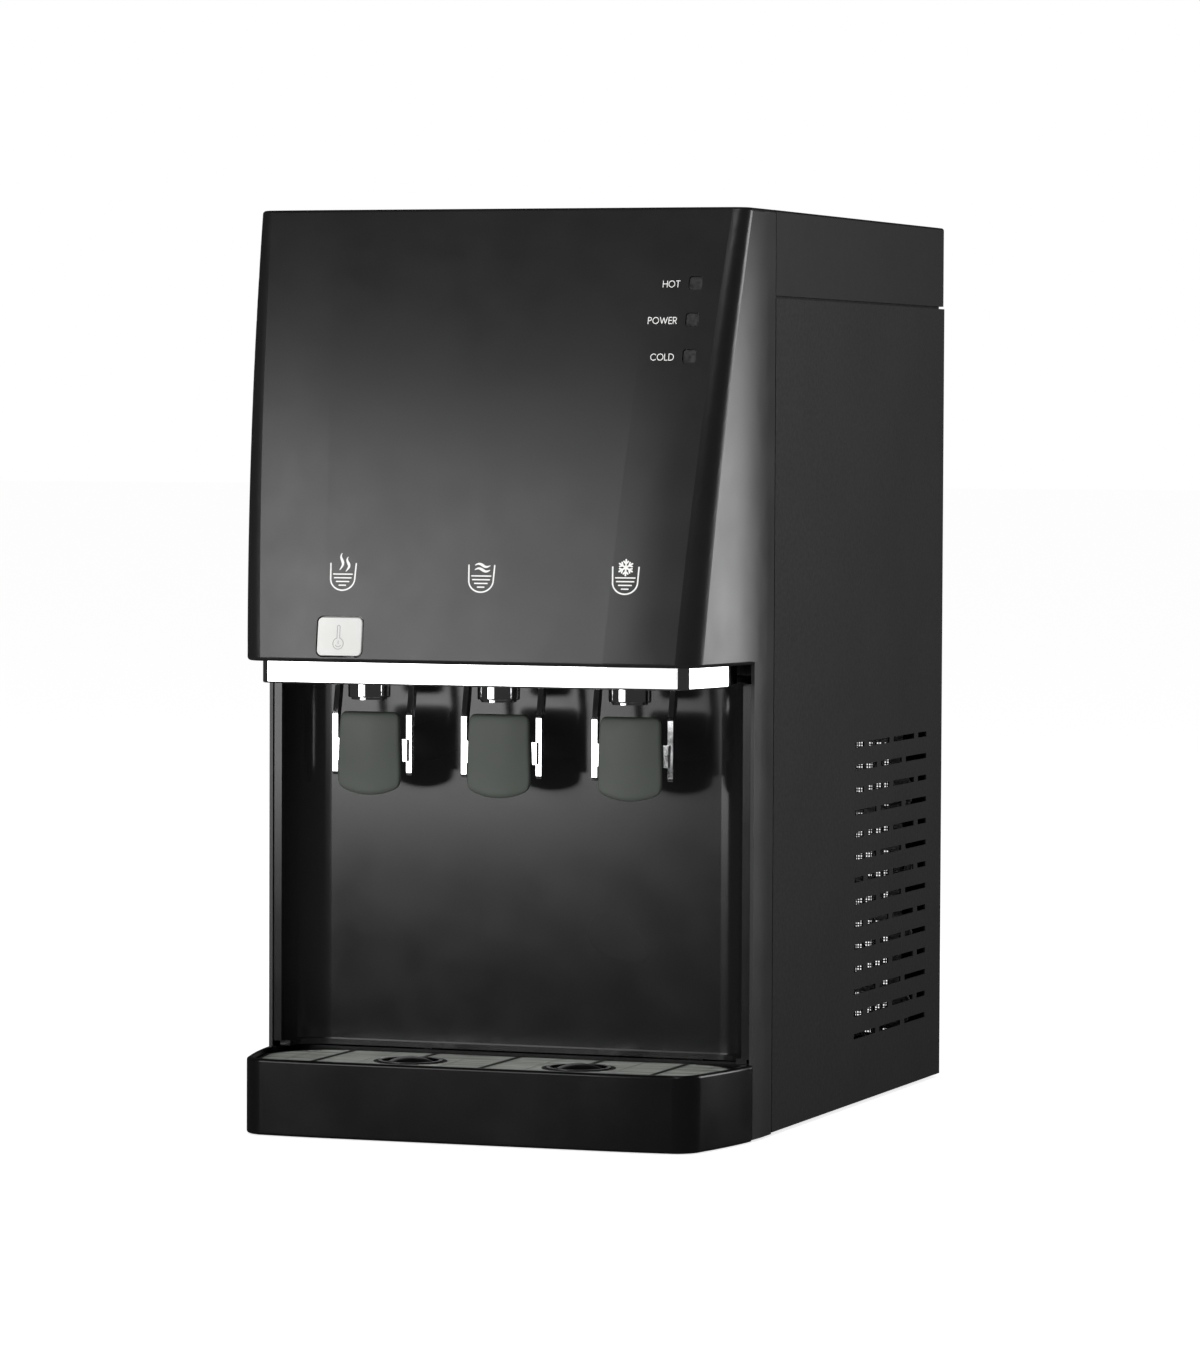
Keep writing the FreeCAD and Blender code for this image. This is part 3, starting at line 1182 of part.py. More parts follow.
def fan_frame():
    """Square frame with the motor on struts at its rear and a foot that stands on the base pan."""
    half = FAN_SIZE / 2
    rear = FAN_Y + FAN_DEPTH
    frame = rounded_box(FAN_X - half, FAN_X + half, FAN_Y, rear,
                        FAN_Z - half, FAN_Z + half, FAN_CORNER_R, "y")
    frame = frame.cut(rod(half - FAN_WALL, (FAN_X, FAN_Y - OVERCUT, FAN_Z), (FAN_X, rear + OVERCUT, FAN_Z)))
    motor = rod(FAN_HUB_R, (FAN_X, rear - FAN_MOTOR_T, FAN_Z), (FAN_X, rear, FAN_Z))
    parts = [frame, motor]
    for n in range(FAN_STRUTS):
        strut = box(FAN_HUB_R - 2 * STRUT_HALF, half - FAN_WALL / 2, -STRUT_HALF, STRUT_HALF, 0, STRUT_T)
        strut.rotate(V(0, 0, 0), V(0, 0, 1), n * 360 / FAN_STRUTS + 20)
        strut.rotate(V(0, 0, 0), V(1, 0, 0), -90)
        strut.translate(V(FAN_X, rear - (STRUT_T + FAN_MOTOR_T) / 2, FAN_Z))
        parts.append(strut)
    shaft = rod(FAN_SHAFT_R, (FAN_X, FAN_Y + FAN_MOTOR_T, FAN_Z), (FAN_X, rear - FAN_MOTOR_T, FAN_Z))
    foot = box(FAN_X - FAN_FOOT_HALF, FAN_X + FAN_FOOT_HALF, FAN_Y + FAN_MOTOR_T, rear - FAN_MOTOR_T,
               FOOT_HEIGHT + PAN_T, FAN_Z - half + SLIP)
    return join(*parts, shaft, foot)


def fan_rotor():
    half = FAN_SIZE / 2
    y0 = FAN_Y + FAN_MOTOR_T / 2
    y1 = FAN_Y + FAN_DEPTH - FAN_MOTOR_T - 1.0
    hub = tube(FAN_HUB_R, FAN_SHAFT_R + PIN_FIT, (FAN_X, y0, FAN_Z), (FAN_X, y1, FAN_Z))
    parts = [hub]
    for n in range(BLADES):
        blade = box(FAN_HUB_R - BLADE_T, half - BLADE_GAP,
                    -BLADE_T / 2, BLADE_T / 2, -BLADE_W / 2, BLADE_W / 2)
        blade.rotate(V(0, 0, 0), V(1, 0, 0), BLADE_PITCH)
        blade.rotate(V(0, 0, 0), V(0, 0, 1), n * 360 / BLADES)
        blade.rotate(V(0, 0, 0), V(1, 0, 0), -90)
        blade.translate(V(FAN_X, (y0 + y1) / 2, FAN_Z))
        parts.append(blade)
    return join(*parts)


def control_board():
    """Board with its transformer, relays, capacitors and plug sockets, on four posts."""
    half_w, low, high = CONTROL_BOARD
    rear = BULKHEAD_Y - POST_LENGTH
    y = rear - BOARD_T
    parts = [box(-half_w, half_w, y, rear, low, high)]
    for x, up, w, d, h in BOARD_PARTS:
        parts.append(box(x, x + w, y - d, y, low + up, low + up + h))
    for x in (POST_IN - half_w, half_w - POST_IN):
        for z in (low + POST_IN, high - POST_IN):
            parts.append(rod(POST_R, (x, rear, z), (x, BULKHEAD_Y, z)))
    return join(*parts)


def run(points, radius):
    """Tube along straight runs that are joined by tangent arcs."""
    stops = [V(*p) for p in points]
    edges = []
    here = stops[0]
    for before, corner, after in zip(stops, stops[1:], stops[2:]):
        arrive = (corner - before).normalize()
        leave = (after - corner).normalize()
        half_turn = math.acos(arrive.dot(leave)) / 2
        trim = 0.45 * min((corner - before).Length, (after - corner).Length)
        bend = trim / math.tan(half_turn)
        start = corner - arrive * trim
        end = corner + leave * trim
        middle = corner + (leave - arrive).normalize() * (bend / math.cos(half_turn) - bend)
        edges.append(Part.LineSegment(here, start).toShape())
        edges.append(Part.Arc(start, middle, end).toShape())
        here = end
    edges.append(Part.LineSegment(here, stops[-1]).toShape())
    ring = Part.Wire(Part.makeCircle(radius, stops[0], (stops[1] - stops[0]).normalize()))
    return Part.Wire(edges).makePipeShell([ring], True, False)


def water_tubes():
    z = TUBE_Z
    hot_x, hot_y, hot_r, _ = HOT_TANK
    cold_x, cold_y, cold_r, _ = COLD_TANK
    hot_line = [(-TAP_PITCH, TAP_REAR, z), (-TAP_PITCH, TUBE_BEND_Y, z), (hot_x, TUBE_BEND_Y + 45, z),
                (hot_x, hot_y - hot_r - TUBE_PUSH, z)]
    cold_line = [(TAP_PITCH, TAP_REAR, z), (TAP_PITCH, TUBE_BEND_Y - 18, z), (cold_x, TUBE_BEND_Y + 22, z),
                 (cold_x, cold_y - cold_r - TUBE_PUSH, z)]
    mains = [(0, TAP_REAR, z), (0, TUBE_BEND_Y, z), (INLET_X, TUBE_BEND_Y + 55, z),
             (INLET_X, BODY_DEPTH - INLET_STOP, z)]
    return Part.makeCompound([run(line, TUBE_R) for line in (hot_line, cold_line, mains)])


# ---------------------------------------------------------------- rear services
def drain_places():
    return (HOT_TANK[0], COLD_TANK[0])


def switch_places():
    return (SWITCH_Z + SWITCH_PITCH, SWITCH_Z)


def water_inlet():
    """Push-fit inlet for the supply tube, locked through the rear panel."""
    y = BODY_DEPTH
    barrel = rod(INLET_R, (INLET_X, y - INLET_IN, TUBE_Z), (INLET_X, y + INLET_OUT, TUBE_Z))
    nut = inlet_nut(INLET_NUT, y)
    lock = inlet_nut(INLET_LOCK, y - SHEET - INLET_LOCK[1])
    fitting = join(barrel, nut, lock)
    rim = [e for e in fitting.Edges if e.BoundBox.YMin > y + INLET_OUT - 0.01]
    fitting = fitting.makeFillet(INLET_EDGE_R, rim)
    bore = rod(INLET_BORE_R, (INLET_X, y - 2, TUBE_Z), (INLET_X, y + INLET_OUT + OVERCUT, TUBE_Z))
    ahead = (INLET_X, y - INLET_IN - OVERCUT, TUBE_Z)
    socket = rod(TUBE_R + PIN_FIT, ahead, (INLET_X, y - INLET_STOP, TUBE_Z))
    return fitting.cut(bore).cut(socket)


def inlet_nut(size, y):
    half, thick = size
    return rounded_box(INLET_X - half, INLET_X + half, y, y + thick,
                       TUBE_Z - half, TUBE_Z + half, half * 0.4, "y")


def drain_outlets():
    """Threaded bushings that carry the tanks' drain pipes through the rear panel."""
    made = []
    for x in drain_places():
        y = BODY_DEPTH
        body = rod(DRAIN_R, (x, y - DRAIN_IN, DRAIN_Z), (x, y + DRAIN_OUT, DRAIN_Z))
        flange = rod(BUSH_FLANGE_R, (x, y, DRAIN_Z), (x, y + REAR_FLANGE, DRAIN_Z))
        nut_r, nut_t = BUSH_NUT
        lock = rod(nut_r, (x, y - SHEET - nut_t, DRAIN_Z), (x, y - SHEET, DRAIN_Z))
        body = join(body, flange, lock)
        seat = (x, y - BUSH_SOCKET, DRAIN_Z)
        body = body.cut(rod(DRAIN_PIPE_R + PIN_FIT, (x, y - DRAIN_IN - OVERCUT, DRAIN_Z), seat))
        made.append(body.cut(rod(DRAIN_BORE_R, seat, (x, y + DRAIN_OUT + OVERCUT, DRAIN_Z))))
    return Part.makeCompound(made)


def drain_plug(x):
    start = BODY_DEPTH + DRAIN_OUT
    stem = rod(DRAIN_BORE_R - REST_GAP, (x, start - PLUG_DEPTH, DRAIN_Z), (x, start + 2, DRAIN_Z))
    head = rod(PLUG_R, (x, start + SLIP / 2, DRAIN_Z), (x, start + PLUG_T, DRAIN_Z))
    rims = [e for e in head.Edges if e.BoundBox.YMin > start + PLUG_T - 0.1]
    head = head.makeFillet(PLUG_EDGE_R, rims)
    ring = PLUG_R + PLUG_GRIP_R / 2
    for n in range(PLUG_GRIPS):
        angle = 2 * math.pi * n / PLUG_GRIPS
        gx, gz = x + ring * math.cos(angle), DRAIN_Z + ring * math.sin(angle)
        head = head.cut(rod(PLUG_GRIP_R, (gx, start, gz), (gx, start + PLUG_T + OVERCUT, gz)))
    return head.fuse(stem).removeSplitter()


def power_inlet():
    """Three-pin appliance socket, flush in the rear panel behind its flange."""
    y = BODY_DEPTH
    w, h = SOCKET_HALF
    body = box(SOCKET_X - w, SOCKET_X + w, y - SOCKET_BACK, y, SOCKET_Z - h, SOCKET_Z + h)
    body = join(body, socket_block(FLANGE_W, y, y + REAR_FLANGE))
    body = body.cut(socket_block(-SOCKET_WALL, y - SOCKET_DEEP, y + REAR_FLANGE + OVERCUT))
    thick, tall, long = PIN_SIZE
    tab_t, tab_w, tab_l = TAB_SIZE
    root = y - SOCKET_DEEP - 1.0
    parts = []
    for dx, dz in PIN_PLACES:
        x, z = SOCKET_X + dx, SOCKET_Z + dz
        parts.append(box(x - thick, x + thick, root, root + long, z - tall, z + tall))
        parts.append(box(x - tab_t, x + tab_t, y - SOCKET_BACK - tab_l, y - SOCKET_BACK,
                         SOCKET_Z - tab_w, SOCKET_Z + tab_w))
    return join(body, *parts)


def socket_block(grow, y0, y1):
    """Rounded block as large as the socket's body and grow more on each side."""
    w, h = SOCKET_HALF[0] + grow, SOCKET_HALF[1] + grow
    return rounded_box(SOCKET_X - w, SOCKET_X + w, y0, y1, SOCKET_Z - h, SOCKET_Z + h, SOCKET_CORNER_R, "y")


def rocker_pivot(z):
    return (SOCKET_X, BODY_DEPTH - 1.5, z)


def switch_housings():
    """Snap-in housings of the two rockers, with their push-on tabs."""
    made = []
    y = BODY_DEPTH
    w, h = SWITCH_HALF
    rim_w, rim_h = w + SWITCH_RIM, h + SWITCH_RIM
    well_w, well_h, well_d = SWITCH_WELL
    tab_t, tab_w, _ = TAB_SIZE
    for z in switch_places():
        parts = [box(SOCKET_X - w, SOCKET_X + w, y - SWITCH_BACK, y, z - h, z + h)]
        parts.append(rounded_box(SOCKET_X - rim_w, SOCKET_X + rim_w, y, y + REAR_FLANGE,
                                 z - rim_h, z + rim_h, SWITCH_RIM, "y"))
        root = y - SWITCH_BACK
        for n in (-1, 0, 1):
            tab_z = z + n * SWITCH_PITCH_TABS
            parts.append(box(SOCKET_X - tab_w, SOCKET_X + tab_w, root - SWITCH_TAB, root,
                             tab_z - tab_t, tab_z + tab_t))
        body = join(*parts)
        body = body.cut(box(SOCKET_X - well_w, SOCKET_X + well_w, y - well_d, y + REAR_FLANGE + OVERCUT,
                            z - well_h, z + well_h))
        _, pivot_y, _ = rocker_pivot(z)
        reach_x = ROCKER_TRUNNION + SLIP
        pivot = rod(1 + PIN_FIT, (SOCKET_X - reach_x, pivot_y, z), (SOCKET_X + reach_x, pivot_y, z))
        made.append(body.cut(pivot))
    return Part.makeCompound(made)


def rocker(z):
    """Rocker that rests tilted to its off side."""
    w, h = ROCKER_HALF
    profile = [(-5, -h), (4.6, -h), (3.2, -h / 2), (2.6, 0), (3.2, h / 2), (4.6, h), (-5, h)]
    points = [V(-w, y, dz) for y, dz in profile]
    body = Part.Face(Part.makePolygon(points + [points[0]])).extrude(V(2 * w, 0, 0))
    made = body.fuse(rod(1, (-ROCKER_TRUNNION, 0, 0), (ROCKER_TRUNNION, 0, 0))).removeSplitter()
    made.rotate(V(0, 0, 0), V(1, 0, 0), -SWITCH_TILT)
    made.translate(V(*rocker_pivot(z)))
    return made


# ---------------------------------------------------------------- the model
def build():
    save("front_panel", front_panel())
    save("top_cover", top_cover())
    right = side_panel()
    save("right_side_panel", right)
    save("left_side_panel", mirrored(right))
    save("rear_panel", rear_panel())
    save("rear_screws", rear_screws())
    save("base_pan", base_pan())
    save("feet", feet())
    save("tank_shelf", tank_shelf())
    save("service_bulkhead", service_bulkhead())
    save("splash_back", splash_back())
    save("chrome_trim", trim_band())
    save("soffit", soffit())
    for name, side in TAPS:
        x = side * TAP_PITCH
        save(name + "_spout", spout(x))
        save(name + "_tap_body", tap_body(x))
        save(name + "_plunger", plunger(x))
        save(name + "_valve_spring", valve_spring(x))
        save(name + "_lever_yoke", yoke(x))
        save(name + "_lever_paddle", paddle(x))
    save("lever_pins", lever_pins())
    save("safety_button", safety_button())
    save("button_spring", button_spring())
    save("safety_switch", safety_switch())
    save("indicator_lenses", Part.makeCompound([light_lens(z) for z in LIGHT_Z]))
    save("indicator_board", indicator_board())
    save("drip_tray", drip_tray())
    save("grille_frame", grille_frame())
    save("grille_slats", grille_slats())
    save("drain_domes", drain_domes())
    save("hot_tank", hot_tank())
    save("cold_tank", cold_tank())
    save("cold_tank_foam", cold_foam())
    save("compressor", compressor())
    save("compressor_mounts", compressor_mounts())
    save("condenser", condenser())
    save("condenser_wires", condenser_wires())
    save("fan_frame", fan_frame())
    save("fan_rotor", fan_rotor())
    save("control_board", control_board())
    save("water_tubes", water_tubes())
    save("water_inlet", water_inlet())
    save("drain_outlets", drain_outlets())
    save("hot_drain_plug", drain_plug(HOT_TANK[0]))
    save("cold_drain_plug", drain_plug(COLD_TANK[0]))
    save("power_inlet", power_inlet())
    save("switch_housings", switch_housings())
    save("hot_switch", rocker(SWITCH_Z + SWITCH_PITCH))
    save("cold_switch", rocker(SWITCH_Z))


build()
os.makedirs("parts", exist_ok=True)
for node, solid in PIECES.items():
    solid.exportStep("parts/" + node + ".step")
print(len(PIECES), "pieces")
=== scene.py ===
"""Looks of the countertop water dispenser: finishes, printed signs, soft paddles and the studio."""
import math

import bmesh
import bpy
from bpy.props import FloatProperty, FloatVectorProperty, PointerProperty
from mathutils import Matrix, Vector
from mathutils.bvhtree import BVHTree


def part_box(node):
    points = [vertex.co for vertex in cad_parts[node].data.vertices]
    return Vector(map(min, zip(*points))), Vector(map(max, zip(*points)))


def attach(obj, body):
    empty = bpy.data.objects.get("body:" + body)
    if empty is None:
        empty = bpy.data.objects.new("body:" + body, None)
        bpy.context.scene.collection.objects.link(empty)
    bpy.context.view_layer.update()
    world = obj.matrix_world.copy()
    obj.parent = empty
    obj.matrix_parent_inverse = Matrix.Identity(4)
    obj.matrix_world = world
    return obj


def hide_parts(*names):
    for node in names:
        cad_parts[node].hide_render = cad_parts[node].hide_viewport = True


bl_info = {
    "name": "Countertop Water Dispenser",
    "version": (1, 0, 0),
    "blender": (4, 5, 0),
    "location": "View3D > Sidebar > Dispenser",
    "description": "Finishes, signs and studio for a countertop water dispenser",
    "category": "Object",
}

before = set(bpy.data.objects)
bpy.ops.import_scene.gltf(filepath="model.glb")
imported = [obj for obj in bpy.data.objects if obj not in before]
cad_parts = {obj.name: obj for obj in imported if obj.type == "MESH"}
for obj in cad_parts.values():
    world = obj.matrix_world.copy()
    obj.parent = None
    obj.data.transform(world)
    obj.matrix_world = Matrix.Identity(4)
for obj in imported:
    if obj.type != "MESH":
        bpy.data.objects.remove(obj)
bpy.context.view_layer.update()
MM = 0.001
TAP_NAMES = ("hot", "ambient", "cold")

WINDOW_SHARE = 0.75          # a light's window, as a share of the light's whole width with its flange
LENS_HEIGHT = 9.6 * MM       # height of one light with its flange
WORD_GAP = 5.0 * MM          # from a word's last letter to its light's window
WORD_RISE = 0.5 * MM         # a word's middle above its light's middle
CUP_LEVEL = 0.6029           # middle of the cup signs, as a share of the front panel's height
THERMOMETER_SHIFT = 0.6 * MM   # the thermometer stands this far left of the button's middle

MESH_PITCH = 1.6 * MM        # of the filter mesh
MESH_WIRE = 0.75 * MM
MESH_THICK = 0.2 * MM
MESH_COLUMNS = 17
MESH_BACK_GAP = 0.1 * MM     # in front of the rear panel's inner face
CONDENSER_TURN = 17.0 * MM   # the condenser's turns reach this far past the air window
MESH_PAST = 0.8 * MM         # the mesh reaches this far past the air window

SEEN_LIGHT = 1.0             # brightness of the surroundings, as the camera sees them
AMBIENT_LIGHT = 0.26         # as they light dull surfaces
MIRRORED_LIGHT = 0.032       # as polished parts mirror them
FLOOR_GLOW = 0.76
LIGHT_AIM = (0.0, -0.15, 0.25)
# name: (setting that holds its power, place, width and height)
LIGHTS = {
    "key_light": ("key_power", (-1.16, -2.25, 0.62), (1.0, 1.24)),
    "band_light": ("band_power", (-0.42, -2.30, 0.26), (0.50, 0.30)),
    "rim_light": ("rim_power", (1.50, 1.26, 0.50), (0.60, 1.1)),
    "fill_light": ("fill_power", (0.9, -2.2, 2.6), (1.2, 1.2)),
}


# ---------------------------------------------------------------- settings
def tint(name, about, default):
    """A colour that the sidebar shows."""
    return FloatVectorProperty(name=name, description=about, default=default, subtype="COLOR", size=3,
                               min=0.0, max=1.0)


def length(name, about, default):
    """A length in metres that the sidebar shows in the scene's unit."""
    return FloatProperty(name=name, description=about, default=default, unit="LENGTH", precision=5)


def share(name, about, default):
    """A number from 0 to 1 that the sidebar shows as a slider."""
    return FloatProperty(name=name, description=about, default=default, subtype="FACTOR", min=0.0, max=1.0)


class DispenserFinishes(bpy.types.PropertyGroup):
    """Colours and roughness of the dispenser's materials."""
    black: tint("Black plastic", "Colour of the black mouldings", (0.0105, 0.0105, 0.0110))
    tray: tint("Drip tray", "Colour of the drip tray", (0.0046, 0.0046, 0.0049))
    coat: tint("Black coat", "Colour of the powder-coated sheet", (0.0075, 0.0075, 0.0078))
    paddle: tint("Paddle", "Colour of the soft grey paddles", (0.050, 0.059, 0.049))
    button: tint("Button", "Colour of the hot water safety button", (0.66, 0.66, 0.64))
    print_white: tint("Print", "Colour of the printed signs", (0.86, 0.86, 0.84))
    grille: tint("Grille", "Colour of the slatted grille", (0.55, 0.58, 0.53))
    paddle_crown: length("Paddle crown", "How far a paddle's face bows forward in its middle", 1.5 * MM)
    paddle_sag: length("Paddle sag", "How far a paddle's lower edge drops in its middle", 5.0 * MM)
    paddle_curl: length("Paddle curl", "How far a paddle's upper edge curls back", 1.8 * MM)
    paddle_waist: share("Paddle waist", "A paddle's width at its upper edge, as a share of its full width",
                        0.935)
    fascia_roughness: share("Fascia roughness", "Roughness of the leaning front", 0.30)
    splash_roughness: share("Splash back roughness", "Roughness of the bay's rear wall", 0.15)
    coat_roughness: share("Coat roughness", "Roughness of the powder coat", 0.52)


class DispenserSigns(bpy.types.PropertyGroup):
    """Sizes of the printed signs."""
    cap_height: length("Cap height", "Height of the capital letters beside the lights", 3.3 * MM)
    letter_stroke: length("Letter stroke", "Stroke width of the letters", 0.42 * MM)
    cup_width: length("Cup width", "Width of the cup sign", 15.4 * MM)
    cup_height: length("Cup height", "Height of the cup sign", 14.6 * MM)
    cup_stroke: length("Cup stroke", "Stroke width of the cup sign", 0.80 * MM)
    print_height: length("Print height", "How far the print stands proud of the plastic", 0.05 * MM)


class DispenserStudio(bpy.types.PropertyGroup):
    """The camera and the lights."""
    camera_place: FloatVectorProperty(name="Camera place", description="Where the camera stands", size=3,
                                      default=(1.1425, -3.2387, 0.3876), subtype="TRANSLATION",
                                      unit="LENGTH", precision=4)
    lens: FloatProperty(name="Lens", description="Focal length on a 36 mm sensor", default=159.5,
                        unit="CAMERA", min=10.0)
    azimuth: FloatProperty(name="Azimuth", description="Camera's turn to the right of the front",
                           default=math.radians(19.45), subtype="ANGLE")
    elevation: FloatProperty(name="Elevation", description="Camera's height as an angle",
                             default=math.radians(2.52), subtype="ANGLE")
    roll: FloatProperty(name="Roll", description="Camera's turn about its own view axis",
                        default=math.radians(0.25), subtype="ANGLE")
    key_power: FloatProperty(name="Key light", description="Power of the large light at the front left",
                             default=21.0, subtype="POWER")
    band_power: FloatProperty(name="Band light", description="Power of the small light that the trim mirrors",
                              default=0.7, subtype="POWER")
    rim_power: FloatProperty(name="Rim light", description="Power of the light behind on the right",
                             default=12.0, subtype="POWER")
    fill_power: FloatProperty(name="Fill light", description="Power of the high front light",
                              default=22.0, subtype="POWER")


# ---------------------------------------------------------------- material maker
class Maker:
    """Builds one node material; every pattern is laid in metres on the object itself."""

    def __init__(self, name, base, roughness, metallic=0.0):
        self.material = bpy.data.materials.new(name)
        self.material.use_nodes = True
        self.tree = self.material.node_tree
        self.shader = self.tree.nodes["Principled BSDF"]
        self.place = self.tree.nodes.new("ShaderNodeTexCoord").outputs["Object"]
        self.set("Base Color", (*base, 1.0))
        self.set("Roughness", roughness)
        self.set("Metallic", metallic)
        self.base = base

    def set(self, socket, value):
        self.shader.inputs[socket].default_value = value

    def node(self, kind, **inputs):
        made = self.tree.nodes.new(kind)
        for name, value in inputs.items():
            socket = made.inputs[name.replace("_", " ")]
            if isinstance(value, bpy.types.NodeSocket):
                self.tree.links.new(value, socket)
            else:
                socket.default_value = value
        return made

    def link(self, output, socket):
        self.tree.links.new(output, self.shader.inputs[socket])

    def stretched(self, scale):
        return self.node("ShaderNodeMapping", Vector=self.place, Scale=scale).outputs["Vector"]

    def noise(self, scale, detail=3.0, roughness=0.5, stretch=None):
        where = self.stretched(stretch) if stretch else self.place
        made = self.node("ShaderNodeTexNoise", Vector=where, Scale=scale, Detail=detail, Roughness=roughness)
        return made.outputs["Fac"]

    def cells(self, scale, feature="F1", stretch=None):
        where = self.stretched(stretch) if stretch else self.place
        made = self.node("ShaderNodeTexVoronoi", Vector=where, Scale=scale)
        made.feature = feature
        return made.outputs["Distance"]

    def cell_shade(self, scale):
        made = self.node("ShaderNodeTexVoronoi", Vector=self.place, Scale=scale)
        split = self.node("ShaderNodeSeparateColor", Color=made.outputs["Color"])
        return split.outputs["Red"]

    def ranged(self, value, low, high, start=0.3, stop=0.7):
        made = self.node("ShaderNodeMapRange", Value=value, From_Min=start, From_Max=stop,
                         To_Min=low, To_Max=high)
        return made.outputs["Result"]

    def shaded(self, value, dark, light, start=0.3, stop=0.7):
        """Colour between two shares of the base colour."""
        ramp = self.node("ShaderNodeValToRGB", Fac=value).color_ramp
        ramp.elements[0].position = start
        ramp.elements[1].position = stop
        ramp.elements[0].color = (*[c * dark for c in self.base], 1.0)
        ramp.elements[1].color = (*[min(c * light, 1.0) for c in self.base], 1.0)
        self.link(ramp.id_data.nodes[-1].outputs["Color"], "Base Color")

    def colour_between(self, value, first, second, start=0.4, stop=0.6):
        made = self.node("ShaderNodeValToRGB", Fac=value)
        made.color_ramp.elements[0].position = start
        made.color_ramp.elements[1].position = stop
        made.color_ramp.elements[0].color = (*first, 1.0)
        made.color_ramp.elements[1].color = (*second, 1.0)
        self.link(made.outputs["Color"], "Base Color")

    def bump(self, *layers):
        """Layers of (height pattern, depth in metres), one on top of the other."""
        normal = None
        for height, depth in layers:
            made = self.node("ShaderNodeBump", Height=height, Distance=depth, Strength=1.0)
            if normal:
                self.tree.links.new(normal, made.inputs["Normal"])
            normal = made.outputs["Normal"]
        self.link(normal, "Normal")


def moulded(name, base, roughness, peel=0.006, grain=0.0, spread=0.04, gloss=0.5):
    """Injection-moulded plastic: faint flow marks, orange peel and, where asked, a spark-eroded grain."""
    make = Maker(name, base, roughness)
    make.shaded(make.noise(9.0, 2.0), 0.86, 1.12)
    make.link(make.ranged(make.noise(34.0, 5.0, 0.62), roughness - spread, roughness + spread), "Roughness")
    make.set("Specular IOR Level", gloss)
    layers = [(make.noise(260.0, 2.0), peel * MM)]
    if grain:
        layers.append((make.cells(1900.0), grain * MM))
    make.bump(*layers)
    return make.material


def powder_coat(name, base, roughness):
    """Baked coat on sheet steel: fine pimpled skin over a faint roll of the sheet."""
    make = Maker(name, base, roughness)
    make.shaded(make.noise(14.0, 3.0), 0.85, 1.15)
    make.link(make.ranged(make.noise(420.0, 3.0), roughness - 0.07, roughness + 0.07), "Roughness")
    make.set("Specular IOR Level", 0.16)
    make.bump((make.noise(5.0, 1.0), 0.05 * MM), (make.noise(1300.0, 2.0), 0.012 * MM))
    return make.material


def plated(name, base, roughness):
    """Bright plate with the faint haze of polishing and handling."""
    make = Maker(name, base, roughness, metallic=1.0)
    make.shaded(make.noise(40.0, 2.0), 0.96, 1.04)
    make.link(make.ranged(make.noise(150.0, 4.0, 0.6), roughness * 0.6, roughness * 1.8), "Roughness")
    make.bump((make.noise(90.0, 1.0), 0.002 * MM))
    return make.material


def brushed(name, base, roughness, along, metallic=0.85, depth=0.006, fine=2600.0, contrast=0.24):
    """Metal with drawn lines along one axis; fine is how close they lie, contrast how dark and light."""
    make = Maker(name, base, roughness, metallic=metallic)
    stretch = [fine, fine, fine]
    stretch[along] = 12.0
    lines = make.noise(1.0, 3.0, 0.6, stretch)
    make.shaded(lines, 1.0 - contrast, 1.0 + contrast)
    make.link(make.ranged(lines, roughness - 0.08, roughness + 0.12), "Roughness")
    make.set("Anisotropic", 0.4)
    make.bump((lines, depth * MM))
    return make.material


def galvanised(name, base):
    """Zinc-coated sheet with its spangle."""
    make = Maker(name, base, 0.38, metallic=0.75)
    spangle = make.cell_shade(95.0)
    make.shaded(spangle, 0.80, 1.18, 0.0, 1.0)
    make.link(make.ranged(spangle, 0.28, 0.50, 0.0, 1.0), "Roughness")
    make.bump((make.noise(700.0, 2.0), 0.004 * MM))
    return make.material


def soft_rubber(name, base, roughness=0.72):
    make = Maker(name, base, roughness)
    make.shaded(make.noise(60.0, 4.0), 0.8, 1.25)
    make.link(make.ranged(make.noise(300.0, 3.0), roughness - 0.08, roughness + 0.08), "Roughness")
    make.bump((make.noise(1500.0, 2.0), 0.015 * MM))
    return make.material


def foamed(name, base):
    """Rigid poured foam with its cells cut open."""
    make = Maker(name, base, 0.9)
    make.shaded(make.noise(45.0, 5.0), 0.82, 1.08)
    make.bump((make.cells(420.0), 0.25 * MM), (make.noise(60.0, 3.0), 0.4 * MM))
    return make.material


def circuit_board(name, mask, copper):
    """Solder mask over copper tracks that run in short straight lanes."""
    make = Maker(name, mask, 0.35)
    lanes = make.cells(230.0, "DISTANCE_TO_EDGE", (1.0, 0.2, 1.6))
    make.colour_between(lanes, copper, mask, 0.02, 0.05)
    make.bump((make.ranged(lanes, 1.0, 0.0, 0.02, 0.06), 0.03 * MM))
    return make.material


def smoked(name, base):
    """Smoked light guide: clear skin over a dark body."""
    make = Maker(name, base, 0.16)
    make.shaded(make.noise(500.0, 2.0), 0.7, 1.6)
    make.link(make.ranged(make.noise(800.0, 2.0), 0.12, 0.22), "Roughness")
    make.set("Coat Weight", 0.5)
    make.set("Coat Roughness", 0.08)
    make.bump((make.cells(1100.0), 0.01 * MM))
    return make.material


def silicone(name, base):
    make = Maker(name, base, 0.42)
    make.shaded(make.noise(120.0, 3.0), 0.86, 1.08)
    make.set("Subsurface Weight", 0.15)
    make.set("Subsurface Scale", 0.002)
    make.bump((make.noise(600.0, 2.0, 0.5, (1.0, 0.1, 1.0)), 0.02 * MM))
    return make.material


def printed(name, base):
    """Screen-printed ink: dry, with the mesh's faint weave."""
    make = Maker(name, base, 0.45)
    make.shaded(make.noise(900.0, 3.0), 0.93, 1.04)
    make.bump((make.cells(2600.0), 0.004 * MM))
    return make.material


